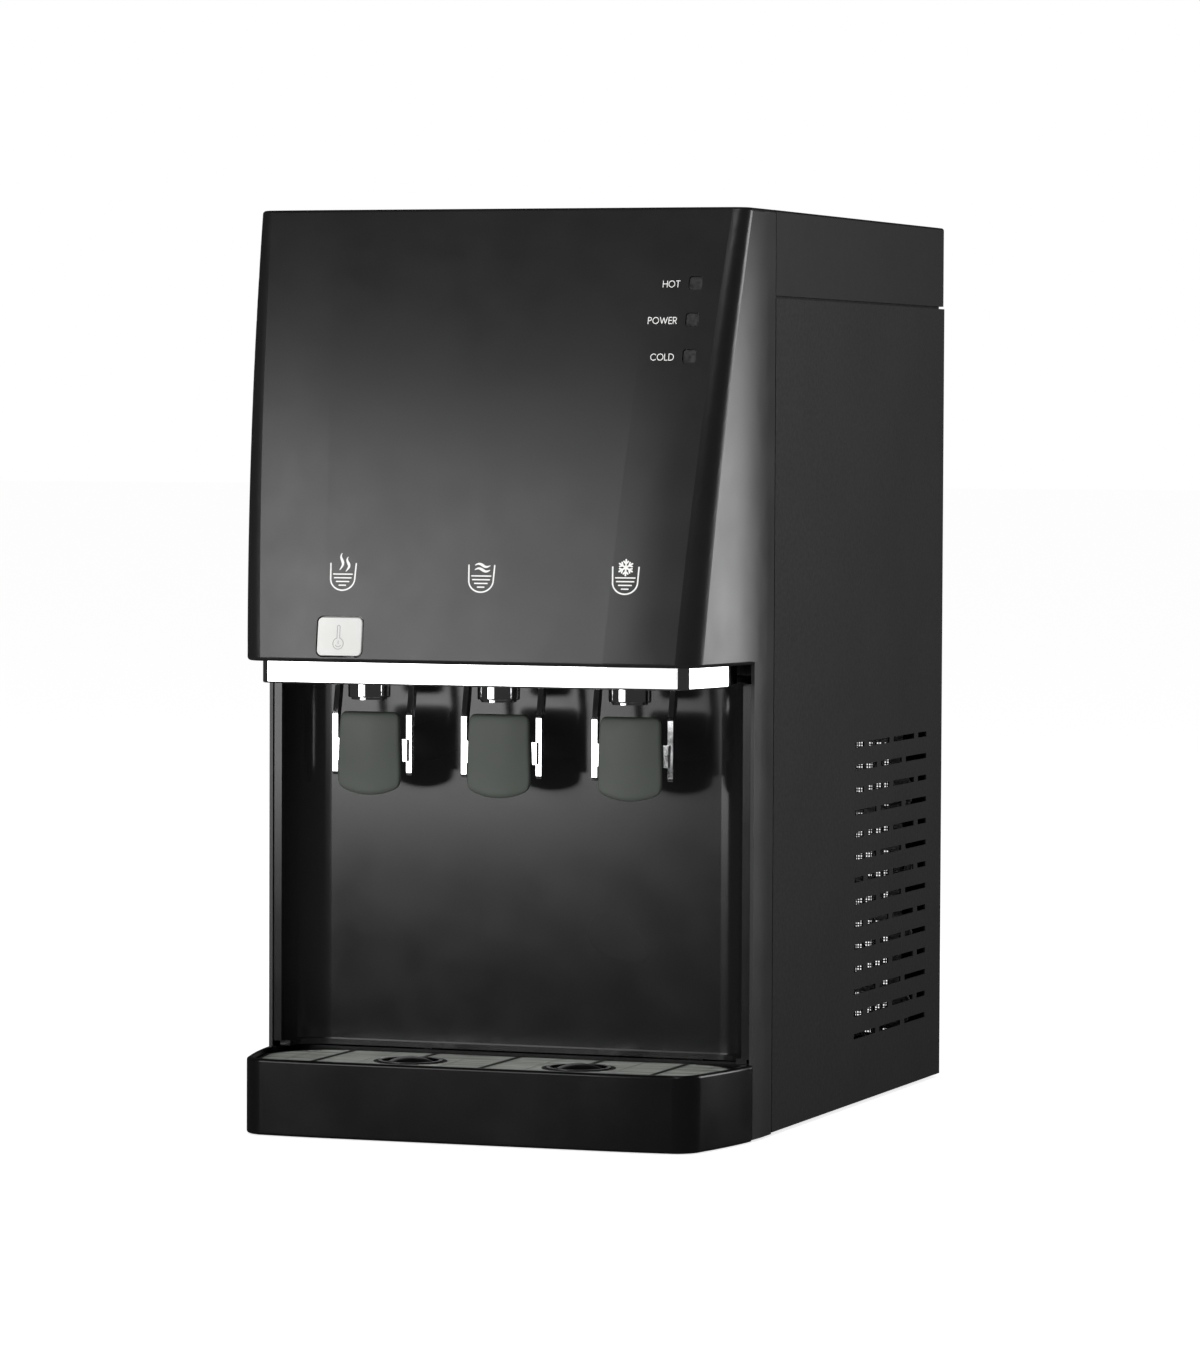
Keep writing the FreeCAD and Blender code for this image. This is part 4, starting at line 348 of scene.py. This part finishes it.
def finish_set(look):
    """Every finish of the dispenser by its slot name."""
    black = tuple(look.black)
    return {
        "fascia": moulded("satin_black_moulding", black, look.fascia_roughness, 0.004, spread=0.025),
        "splash": moulded("polished_black_moulding", black, look.splash_roughness, 0.002, spread=0.02,
                           gloss=0.42),
        "tray": moulded("tray_black_moulding", tuple(look.tray), 0.22, 0.004, 0.002, spread=0.03, gloss=0.25),
        "matt": moulded("matt_black_moulding", (0.016, 0.016, 0.0165), 0.55, 0.01, 0.012),
        "cover": moulded("grained_black_moulding", (0.0080, 0.0080, 0.0083), 0.50, 0.006, 0.010, gloss=0.16),
        "coat": powder_coat("black_powder_coat", tuple(look.coat), look.coat_roughness),
        "chrome": plated("chrome_plate", (0.86, 0.86, 0.87), 0.045),
        "dome": plated("black_chrome", (0.20, 0.20, 0.205), 0.14),
        "paddle": moulded("soft_grey_paddle", tuple(look.paddle), 0.50, 0.01, 0.012),
        "button": moulded("white_button", tuple(look.button), 0.32, 0.004),
        "grille": brushed("slatted_grille_metal", tuple(look.grille), 0.42, 0, 0.35, 0.012, 620.0, 0.55),
        "lens": smoked("smoked_light_guide", (0.030, 0.030, 0.030)),
        "steel": brushed("rolled_stainless", (0.62, 0.62, 0.60), 0.24, 2, 1.0),
        "zinc": galvanised("spangled_zinc", (0.50, 0.51, 0.52)),
        "foam": foamed("poured_foam", (0.78, 0.72, 0.52)),
        "rubber": soft_rubber("moulded_rubber", (0.022, 0.022, 0.022)),
        "board": circuit_board("green_circuit_board", (0.012, 0.115, 0.045), (0.05, 0.26, 0.10)),
        "silicone": silicone("milky_silicone", (0.74, 0.76, 0.74)),
        "condenser": powder_coat("grey_wire_lacquer", (0.40, 0.40, 0.40), 0.48),
        "fitting": moulded("grey_acetal", (0.42, 0.43, 0.42), 0.40, 0.008),
        "screw": brushed("plated_screw", (0.60, 0.60, 0.60), 0.28, 1, 1.0),
        "red": moulded("red_rocker", (0.42, 0.012, 0.012), 0.22, 0.004),
        "green": moulded("green_rocker", (0.010, 0.20, 0.05), 0.22, 0.004),
        "print": printed("white_print", tuple(look.print_white)),
        "grey_print": printed("grey_print", (0.30, 0.30, 0.30)),
    }


FINISHES = {}


def finish(name):
    """The finish of that name, made the first time that it is asked for."""
    if not FINISHES:
        FINISHES.update(finish_set(bpy.context.scene.dispenser_finishes))
    return FINISHES[name]


def dress(nodes, name):
    """Gives frame nodes their finish."""
    for node in nodes:
        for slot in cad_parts[node].material_slots:
            slot.material = finish(name)


def taps(part):
    return [tap + "_" + part for tap in TAP_NAMES]


# ---------------------------------------------------------------- mesh helpers
def add_piece(name, mesh, body, finish_name):
    """Puts a mesh in the scene as a piece that rides on a body."""
    piece = bpy.data.objects.new(name, mesh)
    bpy.context.scene.collection.objects.link(piece)
    mesh.materials.append(finish(finish_name))
    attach(piece, body)
    return piece


class Skin:
    """The outside of one frame node, on which signs are laid from the front."""

    def __init__(self, node):
        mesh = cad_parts[node].data
        points = [v.co.copy() for v in mesh.vertices]
        self.tree = BVHTree.FromPolygons(points, [tuple(p.vertices) for p in mesh.polygons])
        self.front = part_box(node)[0][1] - 10 * MM

    def at(self, x, z, proud):
        """Point in front of the skin, along the skin's own normal."""
        spot, normal, _, _ = self.tree.ray_cast(Vector((x, self.front, z)), Vector((0.0, 1.0, 0.0)))
        if spot is None:
            raise RuntimeError("a sign misses the skin it is printed on")
        if normal.y > 0:
            normal = -normal
        return spot + normal * proud


def arc(cx, cz, rx, rz, start, stop, count=20):
    """Points on an ellipse between two angles in degrees, counted from +X towards +Z."""
    turns = [math.radians(start + (stop - start) * n / (count - 1)) for n in range(count)]
    return [(cx + rx * math.cos(t), cz + rz * math.sin(t)) for t in turns]


def line(*points, step=0.6 * MM):
    """Straight runs through the points, cut short enough to follow a curved skin."""
    run = [points[0]]
    for (x0, z0), (x1, z1) in zip(points, points[1:]):
        count = max(1, math.ceil(math.hypot(x1 - x0, z1 - z0) / step))
        run += [(x0 + (x1 - x0) * n / count, z0 + (z1 - z0) * n / count) for n in range(1, count + 1)]
    return run


def stations(points, width, taper):
    """Centre, side direction and half width along a stroke, with rounded ends."""
    count = len(points)
    made = []
    for n, (x, z) in enumerate(points):
        before = points[max(n - 1, 0)]
        after = points[min(n + 1, count - 1)]
        along = Vector((after[0] - before[0], after[1] - before[1])).normalized()
        swell = 1.0 - taper * abs(2 * n / (count - 1) - 1) ** 1.5
        made.append((Vector((x, z)), along, width / 2 * swell))
    caps = [math.radians(a) for a in (86, 65, 40, 18)]
    first, along, half = made[0]
    start = [(first - along * half * math.sin(a), along, half * math.cos(a)) for a in caps]
    last, along, half = made[-1]
    end = [(last + along * half * math.sin(a), along, half * math.cos(a)) for a in reversed(caps)]
    return start + made + end


def print_strokes(name, strokes, place, skin, height, body, finish_name):
    """One thin raised solid per stroke, laid on a skin. A stroke is (points, width, taper)."""
    made = bmesh.new()
    step = height * 0.04
    for n, (points, width, taper) in enumerate(strokes):
        rings = []
        for centre, along, half in stations(points, width, taper):
            side = Vector((-along.y, along.x)) * half
            ring = []
            top, foot = height + n * step, -height / 2
            for hand, proud in ((1, top), (-1, top), (-1, foot), (1, foot)):
                spot = centre + side * hand
                ring.append(made.verts.new(skin.at(place[0] + spot.x, place[1] + spot.y, proud)))
            rings.append(ring)
        for one, two in zip(rings, rings[1:]):
            for k in range(4):
                made.faces.new((one[k], one[(k + 1) % 4], two[(k + 1) % 4], two[k]))
        made.faces.new(rings[0][::-1])
        made.faces.new(rings[-1])
    bmesh.ops.recalc_face_normals(made, faces=made.faces)
    mesh = bpy.data.meshes.new(name)
    made.to_mesh(mesh)
    made.free()
    return add_piece(name, mesh, body, finish_name)


def share_squared(value, stop):
    """1 at zero, falling as a parabola to 0 at stop and beyond."""
    return max(0.0, 1.0 - value / stop) ** 2


def paddle_mesh(name, low, high, settings):
    """Soft push pad: a coarse cage of a crowned tongue, rounded by its subdivision surface."""
    columns = (-1.0, -0.92, -0.5, 0.0, 0.5, 0.92, 1.0)
    rows = (0.0, 0.06, 0.16, 0.40, 0.70, 0.93, 1.0)
    middle = (low[0] + high[0]) / 2
    half = (high[0] - low[0]) / 2
    height = high[2] - low[2]
    made = bmesh.new()
    layers = []
    for layer in (0, 1):
        grid = []
        for v in rows:
            ring = []
            for u in columns:
                corner = abs(u) == 1.0 and v in (rows[0], rows[-1])
                wide = half * (settings.paddle_waist + (1.0 - settings.paddle_waist) * v)
                x = middle + u * wide * (0.90 if corner else 1.0)
                drop = height - settings.paddle_sag * u * u
                z = high[2] - v * drop + (v - 0.5) * height * (0.06 if corner else 0.0)
                front = low[1] + settings.paddle_crown * u * u
                curl = settings.paddle_curl * share_squared(v, 0.3)
                y = front + curl if layer == 0 else high[1] + min(curl, 1.0 * MM)
                ring.append(made.verts.new((x, y, z)))
            grid.append(ring)
        layers.append(grid)
    for flip, grid in enumerate(layers):
        for upper, lower in zip(grid, grid[1:]):
            for k in range(len(columns) - 1):
                quad = (upper[k], lower[k], lower[k + 1], upper[k + 1])
                made.faces.new(quad[::-1] if flip else quad)
    rims = [border(grid) for grid in layers]
    for k in range(len(rims[0])):
        after = (k + 1) % len(rims[0])
        made.faces.new((rims[0][k], rims[0][after], rims[1][after], rims[1][k]))
    bmesh.ops.recalc_face_normals(made, faces=made.faces)
    for face in made.faces:
        face.smooth = True
    mesh = bpy.data.meshes.new(name)
    made.to_mesh(mesh)
    made.free()
    return mesh


def border(grid):
    """The grid's outer points, once round."""
    right = [row[-1] for row in grid[1:-1]]
    left = [row[0] for row in grid[1:-1]]
    return grid[0] + right + grid[-1][::-1] + left[::-1]


def add_bar(made, low, high):
    """A straight bar between two corners."""
    size = Vector(high) - Vector(low)
    centre = (Vector(low) + Vector(high)) / 2
    bmesh.ops.create_cube(made, size=1.0, matrix=Matrix.LocRotScale(centre, None, size))


def add_filter_mesh():
    """Fine wire mesh behind the condenser's tubes, over the right part of the rear panel's air window."""
    low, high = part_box("condenser")
    right = high[0] - CONDENSER_TURN + MESH_PAST
    left = right - (MESH_COLUMNS - 1) * MESH_PITCH - MESH_WIRE
    back = high[1] - MESH_BACK_GAP
    middle = back - MESH_THICK
    made = bmesh.new()
    for n in range(MESH_COLUMNS):
        x = left + n * MESH_PITCH
        add_bar(made, (x, middle, low[2]), (x + MESH_WIRE, back, high[2]))
    for n in range(round((high[2] - low[2]) / MESH_PITCH)):
        z = low[2] + n * MESH_PITCH
        add_bar(made, (left, middle - MESH_THICK, z), (right, middle, z + MESH_WIRE))
    mesh = bpy.data.meshes.new("condenser_filter_mesh")
    made.to_mesh(mesh)
    made.free()
    add_piece("condenser_filter_mesh", mesh, "housing", "condenser")


# ---------------------------------------------------------------- letters and signs
def letter_shapes():
    """Strokes of each capital in units of the cap height, with its width."""
    bowl = arc(0.26, 0.74, 0.26, 0.26, 90, -90, 14)
    return {
        "H": (0.70, [[(0, 0), (0, 1)], [(0.70, 0), (0.70, 1)], [(0, 0.52), (0.70, 0.52)]]),
        "O": (0.98, [arc(0.49, 0.5, 0.49, 0.5, 0, 360, 40)]),
        "T": (0.58, [[(0, 1), (0.58, 1)], [(0.29, 0), (0.29, 1)]]),
        "P": (0.52, [[(0, 0), (0, 1)], [(0, 1)] + bowl + [(0, 0.48)]]),
        "W": (1.20, [[(0, 1), (0.31, 0), (0.60, 0.96), (0.89, 0), (1.20, 1)]]),
        "E": (0.48, [[(0, 0), (0, 1)], [(0, 1), (0.48, 1)], [(0, 0.52), (0.46, 0.52)], [(0, 0), (0.48, 0)]]),
        "R": (0.54, [[(0, 0), (0, 1)], [(0, 1)] + bowl + [(0, 0.48)], [(0.22, 0.48), (0.54, 0)]]),
        "C": (0.84, [arc(0.49, 0.5, 0.49, 0.5, 44, 316, 32)]),
        "L": (0.44, [[(0, 1), (0, 0), (0.44, 0)]]),
        "D": (0.78, [[(0, 0), (0, 1)], [(0, 1)] + arc(0.28, 0.5, 0.50, 0.5, 90, -90, 22) + [(0, 0)]]),
    }


def word_strokes(word, cap, stroke, gap=0.26):
    """Strokes of a word that ends at x = 0 and is centred on z = 0."""
    shapes = letter_shapes()
    total = sum(shapes[c][0] for c in word) + gap * (len(word) - 1)
    pen = -total
    strokes = []
    for c in word:
        width, lines = shapes[c]
        for points in lines:
            placed = [((pen + x) * cap, (z - 0.5) * cap) for x, z in points]
            strokes.append((line(*placed), stroke, 0.0))
        pen += width + gap
    return strokes


def cup_strokes(width, height, stroke):
    """An open cup with four lines of water that shorten towards its rounded foot."""
    half = (width - stroke) / 2
    foot_half = half * 0.95
    foot_rise = 0.90 * foot_half
    foot = arc(0, -height / 2 + stroke / 2 + foot_rise, foot_half, foot_rise, 180, 360, 40)
    wall = [(-half, height / 2)] + foot + [(half, height / 2)]
    strokes = [(line(*wall), stroke, 0.0)]
    for n, part in enumerate((0.70, 0.62, 0.46, 0.24)):
        z = height * (0.115 - 0.135 * n)
        reach = width * part / 2
        strokes.append((line((-reach, z), (reach, z)), stroke * 0.86, 0.0))
    return strokes


def steam_strokes(width, height):
    """Two rising wisps over the water."""
    strokes = []
    for x, low, tall in ((-0.095, 0.27, 0.60), (0.140, 0.22, 0.52)):
        points = []
        for n in range(25):
            t = n / 24
            sway = 0.055 * math.sin(2 * math.pi * (t - 0.10))
            points.append((width * (x + sway + 0.05 * t), height * (low + tall * t)))
        strokes.append((points, width * 0.098, 0.75))
    return strokes


def wave_strokes(width, height):
    """Two level waves over the water."""
    strokes = []
    for z in (0.50, 0.335):
        points = []
        for n in range(25):
            t = n / 24
            rise = 0.05 * math.sin(2 * math.pi * t) + 0.02 * (0.5 - t)
            points.append((width * 0.54 * (t - 0.44), height * (z + rise)))
        strokes.append((points, width * 0.095, 0.70))
    return strokes


def flake_strokes(width, height):
    """A six-armed snowflake over the water."""
    size = width * 0.265
    centre_z = height * 0.485
    strokes = []
    for n in range(6):
        turn = math.radians(60 * n + 30)
        along = Vector((math.cos(turn), math.sin(turn)))
        across = Vector((-along.y, along.x))
        tip = along * size
        strokes.append((line((0, centre_z), (tip.x, centre_z + tip.y)), width * 0.062, 0.0))
        for hand in (-1, 1):
            root = along * size * 0.48
            end = along * size * 0.80 + across * size * 0.30 * hand
            strokes.append((line((root.x, centre_z + root.y), (end.x, centre_z + end.y)), width * 0.055, 0.0))
    return strokes


def thermometer_strokes(unit):
    """Outline of a thermometer: a slim stem over a round bulb, with its mark."""
    stem = 0.75 * unit
    bulb = 3.0 * unit
    meet = math.degrees(math.asin(stem / bulb))
    bulb_z = -4.0 * unit
    outline = line((-stem, bulb_z + bulb * 0.97), (-stem, 5.0 * unit))
    outline += arc(0, 5.0 * unit, stem, stem, 180, 0, 9)
    outline += line((stem, 5.0 * unit), (stem, bulb_z + bulb * 0.97))
    outline += arc(0, bulb_z, bulb, bulb, 90 - meet, -270 + meet, 40)
    mark = line((0, bulb_z - 0.2 * unit), (0, bulb_z + 1.5 * unit))
    level = arc(0, bulb_z, 1.7 * unit, 1.7 * unit, -150, -30, 12)
    return [(outline, 0.34 * unit, 0.0), (mark, 0.3 * unit, 0.0), (level, 0.3 * unit, 0.0)]


# ---------------------------------------------------------------- operators
class DISPENSER_OT_casing(bpy.types.Operator):
    """Dress the casing: front panel, cover, side panels, rear panel, base and feet"""
    bl_idname = "dispenser.casing"
    bl_label = "Casing"

    def execute(self, context):
        dress(["front_panel"], "fascia")
        dress(["top_cover"], "cover")
        dress(["left_side_panel", "right_side_panel", "rear_panel"], "coat")
        dress(["base_pan", "tank_shelf", "service_bulkhead"], "zinc")
        dress(["feet"], "rubber")
        dress(["rear_screws"], "screw")
        return {"FINISHED"}


class DISPENSER_OT_bay(bpy.types.Operator):
    """Dress the dispensing bay: splash back, soffit and chrome trim"""
    bl_idname = "dispenser.bay"
    bl_label = "Dispensing bay"

    def execute(self, context):
        dress(["splash_back"], "splash")
        dress(["soffit"], "matt")
        dress(["chrome_trim"], "chrome")
        return {"FINISHED"}


class DISPENSER_OT_taps(bpy.types.Operator):
    """Dress the three taps with their levers, plungers and springs"""
    bl_idname = "dispenser.taps"
    bl_label = "Taps"

    def execute(self, context):
        dress(taps("spout") + taps("lever_yoke"), "chrome")
        settings = context.scene.dispenser_finishes
        for tap in TAP_NAMES:
            name = tap + "_soft_paddle"
            low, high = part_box(tap + "_lever_paddle")
            mesh = paddle_mesh(name, low, high, settings)
            piece = add_piece(name, mesh, tap + "_lever", "paddle")
            rounding = piece.modifiers.new("rounding", "SUBSURF")
            rounding.levels = rounding.render_levels = 3
            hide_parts(tap + "_lever_paddle")
        dress(taps("tap_body"), "fitting")
        dress(taps("plunger") + taps("valve_spring") + ["lever_pins"], "screw")
        return {"FINISHED"}


class DISPENSER_OT_button(bpy.types.Operator):
    """Dress the hot water safety button and print its thermometer"""
    bl_idname = "dispenser.button"
    bl_label = "Safety button"

    def execute(self, context):
        dress(["safety_button"], "button")
        dress(["button_spring"], "screw")
        dress(["safety_switch"], "matt")
        low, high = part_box("safety_button")
        signs = context.scene.dispenser_signs
        place = ((low[0] + high[0]) / 2 - THERMOMETER_SHIFT, (low[2] + high[2]) / 2)
        print_strokes("thermometer_sign", thermometer_strokes(MM), place, Skin("safety_button"),
                      signs.print_height, "button", "grey_print")
        return {"FINISHED"}


class DISPENSER_OT_lights(bpy.types.Operator):
    """Dress the three indicator lights and print the words beside them"""
    bl_idname = "dispenser.lights"
    bl_label = "Indicator lights"

    def execute(self, context):
        dress(["indicator_lenses"], "lens")
        dress(["indicator_board"], "board")
        signs = context.scene.dispenser_signs
        low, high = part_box("indicator_lenses")
        window = (high[0] - low[0]) * WINDOW_SHARE
        right = (low[0] + high[0]) / 2 - window / 2 - WORD_GAP
        skin = Skin("front_panel")
        top = high[2] - LENS_HEIGHT / 2
        span = high[2] - low[2] - LENS_HEIGHT
        for n, word in enumerate(("HOT", "POWER", "COLD")):
            z = top - span * n / 2 + WORD_RISE
            strokes = word_strokes(word, signs.cap_height, signs.letter_stroke)
            print_strokes(word.lower() + "_word", strokes, (right, z), skin, signs.print_height,
                          "housing", "print")
        return {"FINISHED"}


class DISPENSER_OT_cup_signs(bpy.types.Operator):
    """Print the three cup signs on the front panel: steam, waves and a snowflake"""
    bl_idname = "dispenser.cup_signs"
    bl_label = "Cup signs"

    def execute(self, context):
        signs = context.scene.dispenser_signs
        w, h, stroke = signs.cup_width, signs.cup_height, signs.cup_stroke
        low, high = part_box("front_panel")
        width = high[0] - low[0]
        centre = (low[0] + high[0]) / 2
        skin = Skin("front_panel")
        z = low[2] + (high[2] - low[2]) * CUP_LEVEL
        # each cup's place from the middle, as a share of the front panel's width
        marks = {"hot": (-0.2535, steam_strokes),
                 "ambient": (0.0270, wave_strokes),
                 "cold": (0.3142, flake_strokes)}
        for tap, (part, mark) in marks.items():
            strokes = cup_strokes(w, h, stroke) + mark(w, h)
            print_strokes(tap + "_cup_sign", strokes, (centre + width * part, z), skin, signs.print_height,
                          "housing", "print")
        return {"FINISHED"}


class DISPENSER_OT_tray(bpy.types.Operator):
    """Dress the drip tray, its grille and the two drain domes"""
    bl_idname = "dispenser.tray"
    bl_label = "Drip tray"

    def execute(self, context):
        dress(["drip_tray"], "tray")
        dress(["grille_frame"], "matt")
        dress(["grille_slats"], "grille")
        dress(["drain_domes"], "dome")
        return {"FINISHED"}


class DISPENSER_OT_works(bpy.types.Operator):
    """Dress the works inside: tanks, cooling, boards and tubes"""
    bl_idname = "dispenser.works"
    bl_label = "Inner works"

    def execute(self, context):
        dress(["hot_tank", "cold_tank"], "steel")
        dress(["cold_tank_foam"], "foam")
        dress(["compressor"], "coat")
        dress(["compressor_mounts"], "rubber")
        dress(["condenser", "condenser_wires"], "condenser")
        add_filter_mesh()
        dress(["fan_frame", "fan_rotor"], "matt")
        dress(["control_board"], "board")
        dress(["water_tubes"], "silicone")
        return {"FINISHED"}


class DISPENSER_OT_services(bpy.types.Operator):
    """Dress the fittings in the rear panel: water, drains, power and switches"""
    bl_idname = "dispenser.services"
    bl_label = "Rear services"

    def execute(self, context):
        dress(["water_inlet", "hot_drain_plug", "cold_drain_plug"], "fitting")
        dress(["drain_outlets", "power_inlet", "switch_housings"], "matt")
        dress(["hot_switch"], "red")
        dress(["cold_switch"], "green")
        return {"FINISHED"}


def soft_box(name, place, aim, size, power):
    """A rectangular light that faces a point."""
    data = bpy.data.lights.new(name, "AREA")
    data.shape = "RECTANGLE"
    data.size, data.size_y = size
    data.energy = power
    lamp = bpy.data.objects.new(name, data)
    lamp.location = place
    lamp.rotation_euler = (Vector(aim) - Vector(place)).to_track_quat("-Z", "Y").to_euler()
    lamp.visible_camera = False
    bpy.context.scene.collection.objects.link(lamp)


def white_background(tree, strength):
    made = tree.nodes.new("ShaderNodeBackground")
    made.inputs["Color"].default_value = (1.0, 1.0, 1.0, 1.0)
    made.inputs["Strength"].default_value = strength
    return made


def pale_world(scene):
    """Even white beyond the floor, dim where polished parts mirror it."""
    world = bpy.data.worlds.new("studio")
    world.use_nodes = True
    tree = world.node_tree
    tree.nodes.clear()
    rays = tree.nodes.new("ShaderNodeLightPath")
    seen, ambient, mirrored = [white_background(tree, strength)
                               for strength in (SEEN_LIGHT, AMBIENT_LIGHT, MIRRORED_LIGHT)]
    dim = tree.nodes.new("ShaderNodeMixShader")
    out = tree.nodes.new("ShaderNodeMixShader")
    end = tree.nodes.new("ShaderNodeOutputWorld")
    link = tree.links.new
    link(rays.outputs["Is Glossy Ray"], dim.inputs["Fac"])
    link(ambient.outputs["Background"], dim.inputs[1])
    link(mirrored.outputs["Background"], dim.inputs[2])
    link(rays.outputs["Is Camera Ray"], out.inputs["Fac"])
    link(dim.outputs["Shader"], out.inputs[1])
    link(seen.outputs["Background"], out.inputs[2])
    link(out.outputs["Shader"], end.inputs["Surface"])
    scene.world = world


def pale_floor(half=30.0):
    """A wide pale floor that glows, so that its far edge nearly melts into the background."""
    mesh = bpy.data.meshes.new("floor")
    corners = [(-half, -half, 0), (half, -half, 0), (half, half, 0), (-half, half, 0)]
    mesh.from_pydata(corners, [], [(0, 1, 2, 3)])
    floor = bpy.data.objects.new("floor", mesh)
    bpy.context.scene.collection.objects.link(floor)
    make = Maker("pale_floor", (0.86, 0.86, 0.86), 0.8)
    make.shaded(make.noise(3.0, 2.0), 0.995, 1.0)
    make.set("Emission Color", (1.0, 1.0, 1.0, 1.0))
    make.set("Emission Strength", FLOOR_GLOW)
    make.set("Specular IOR Level", 0.0)
    mesh.materials.append(make.material)
    floor.visible_glossy = False


def aimed_camera(scene, studio):
    """The camera stands at its named place, to the right of the front, and turns as the settings say."""
    a, e, r = studio.azimuth, studio.elevation, studio.roll
    back = Vector((math.sin(a) * math.cos(e), -math.cos(a) * math.cos(e), math.sin(e)))
    level = Vector((0.0, 0.0, 1.0)).cross(back).normalized()
    upright = back.cross(level)
    right = level * math.cos(r) + upright * math.sin(r)
    up = upright * math.cos(r) - level * math.sin(r)
    data = bpy.data.cameras.new("camera")
    data.lens = studio.lens
    data.sensor_width = 36.0
    data.clip_end = 100.0
    camera = bpy.data.objects.new("camera", data)
    turn = Matrix((right, up, back)).transposed()
    camera.matrix_world = Matrix.LocRotScale(Vector(studio.camera_place), turn, None)
    scene.collection.objects.link(camera)
    scene.camera = camera


class DISPENSER_OT_stage(bpy.types.Operator):
    """Set up the pale floor, the soft lights and the camera"""
    bl_idname = "dispenser.stage"
    bl_label = "Studio"

    def execute(self, context):
        scene = context.scene
        studio = scene.dispenser_studio
        pale_world(scene)
        pale_floor()
        for name, (power, place, size) in LIGHTS.items():
            soft_box(name, place, LIGHT_AIM, size, getattr(studio, power))
        aimed_camera(scene, studio)
        scene.view_settings.view_transform = "Standard"
        return {"FINISHED"}


class DISPENSER_PT_panel(bpy.types.Panel):
    """Sidebar panel that lists the dispenser's steps"""
    bl_idname = "DISPENSER_PT_panel"
    bl_label = "Water dispenser"
    bl_space_type = "VIEW_3D"
    bl_region_type = "UI"
    bl_category = "Dispenser"

    def draw(self, context):
        column = self.layout.column(align=True)
        for step in STEPS:
            column.operator(step.bl_idname)
        for group, settings in SETTINGS.items():
            held = getattr(context.scene, group)
            for name in settings.__annotations__:
                self.layout.prop(held, name)


SETTINGS = {"dispenser_finishes": DispenserFinishes, "dispenser_signs": DispenserSigns,
            "dispenser_studio": DispenserStudio}
STEPS = (DISPENSER_OT_casing, DISPENSER_OT_bay, DISPENSER_OT_taps, DISPENSER_OT_button, DISPENSER_OT_lights,
         DISPENSER_OT_cup_signs, DISPENSER_OT_tray, DISPENSER_OT_works, DISPENSER_OT_services,
         DISPENSER_OT_stage)


def register():
    for settings in SETTINGS.values():
        bpy.utils.register_class(settings)
    for name, settings in SETTINGS.items():
        setattr(bpy.types.Scene, name, PointerProperty(type=settings))
    for step in STEPS:
        bpy.utils.register_class(step)
    bpy.utils.register_class(DISPENSER_PT_panel)


def unregister():
    bpy.utils.unregister_class(DISPENSER_PT_panel)
    for step in reversed(STEPS):
        bpy.utils.unregister_class(step)
    for name, settings in SETTINGS.items():
        delattr(bpy.types.Scene, name)
        bpy.utils.unregister_class(settings)


def main():
    register()
    for step in STEPS:
        group, name = step.bl_idname.split(".")
        getattr(getattr(bpy.ops, group), name)()


if __name__ == "__main__":
    main()
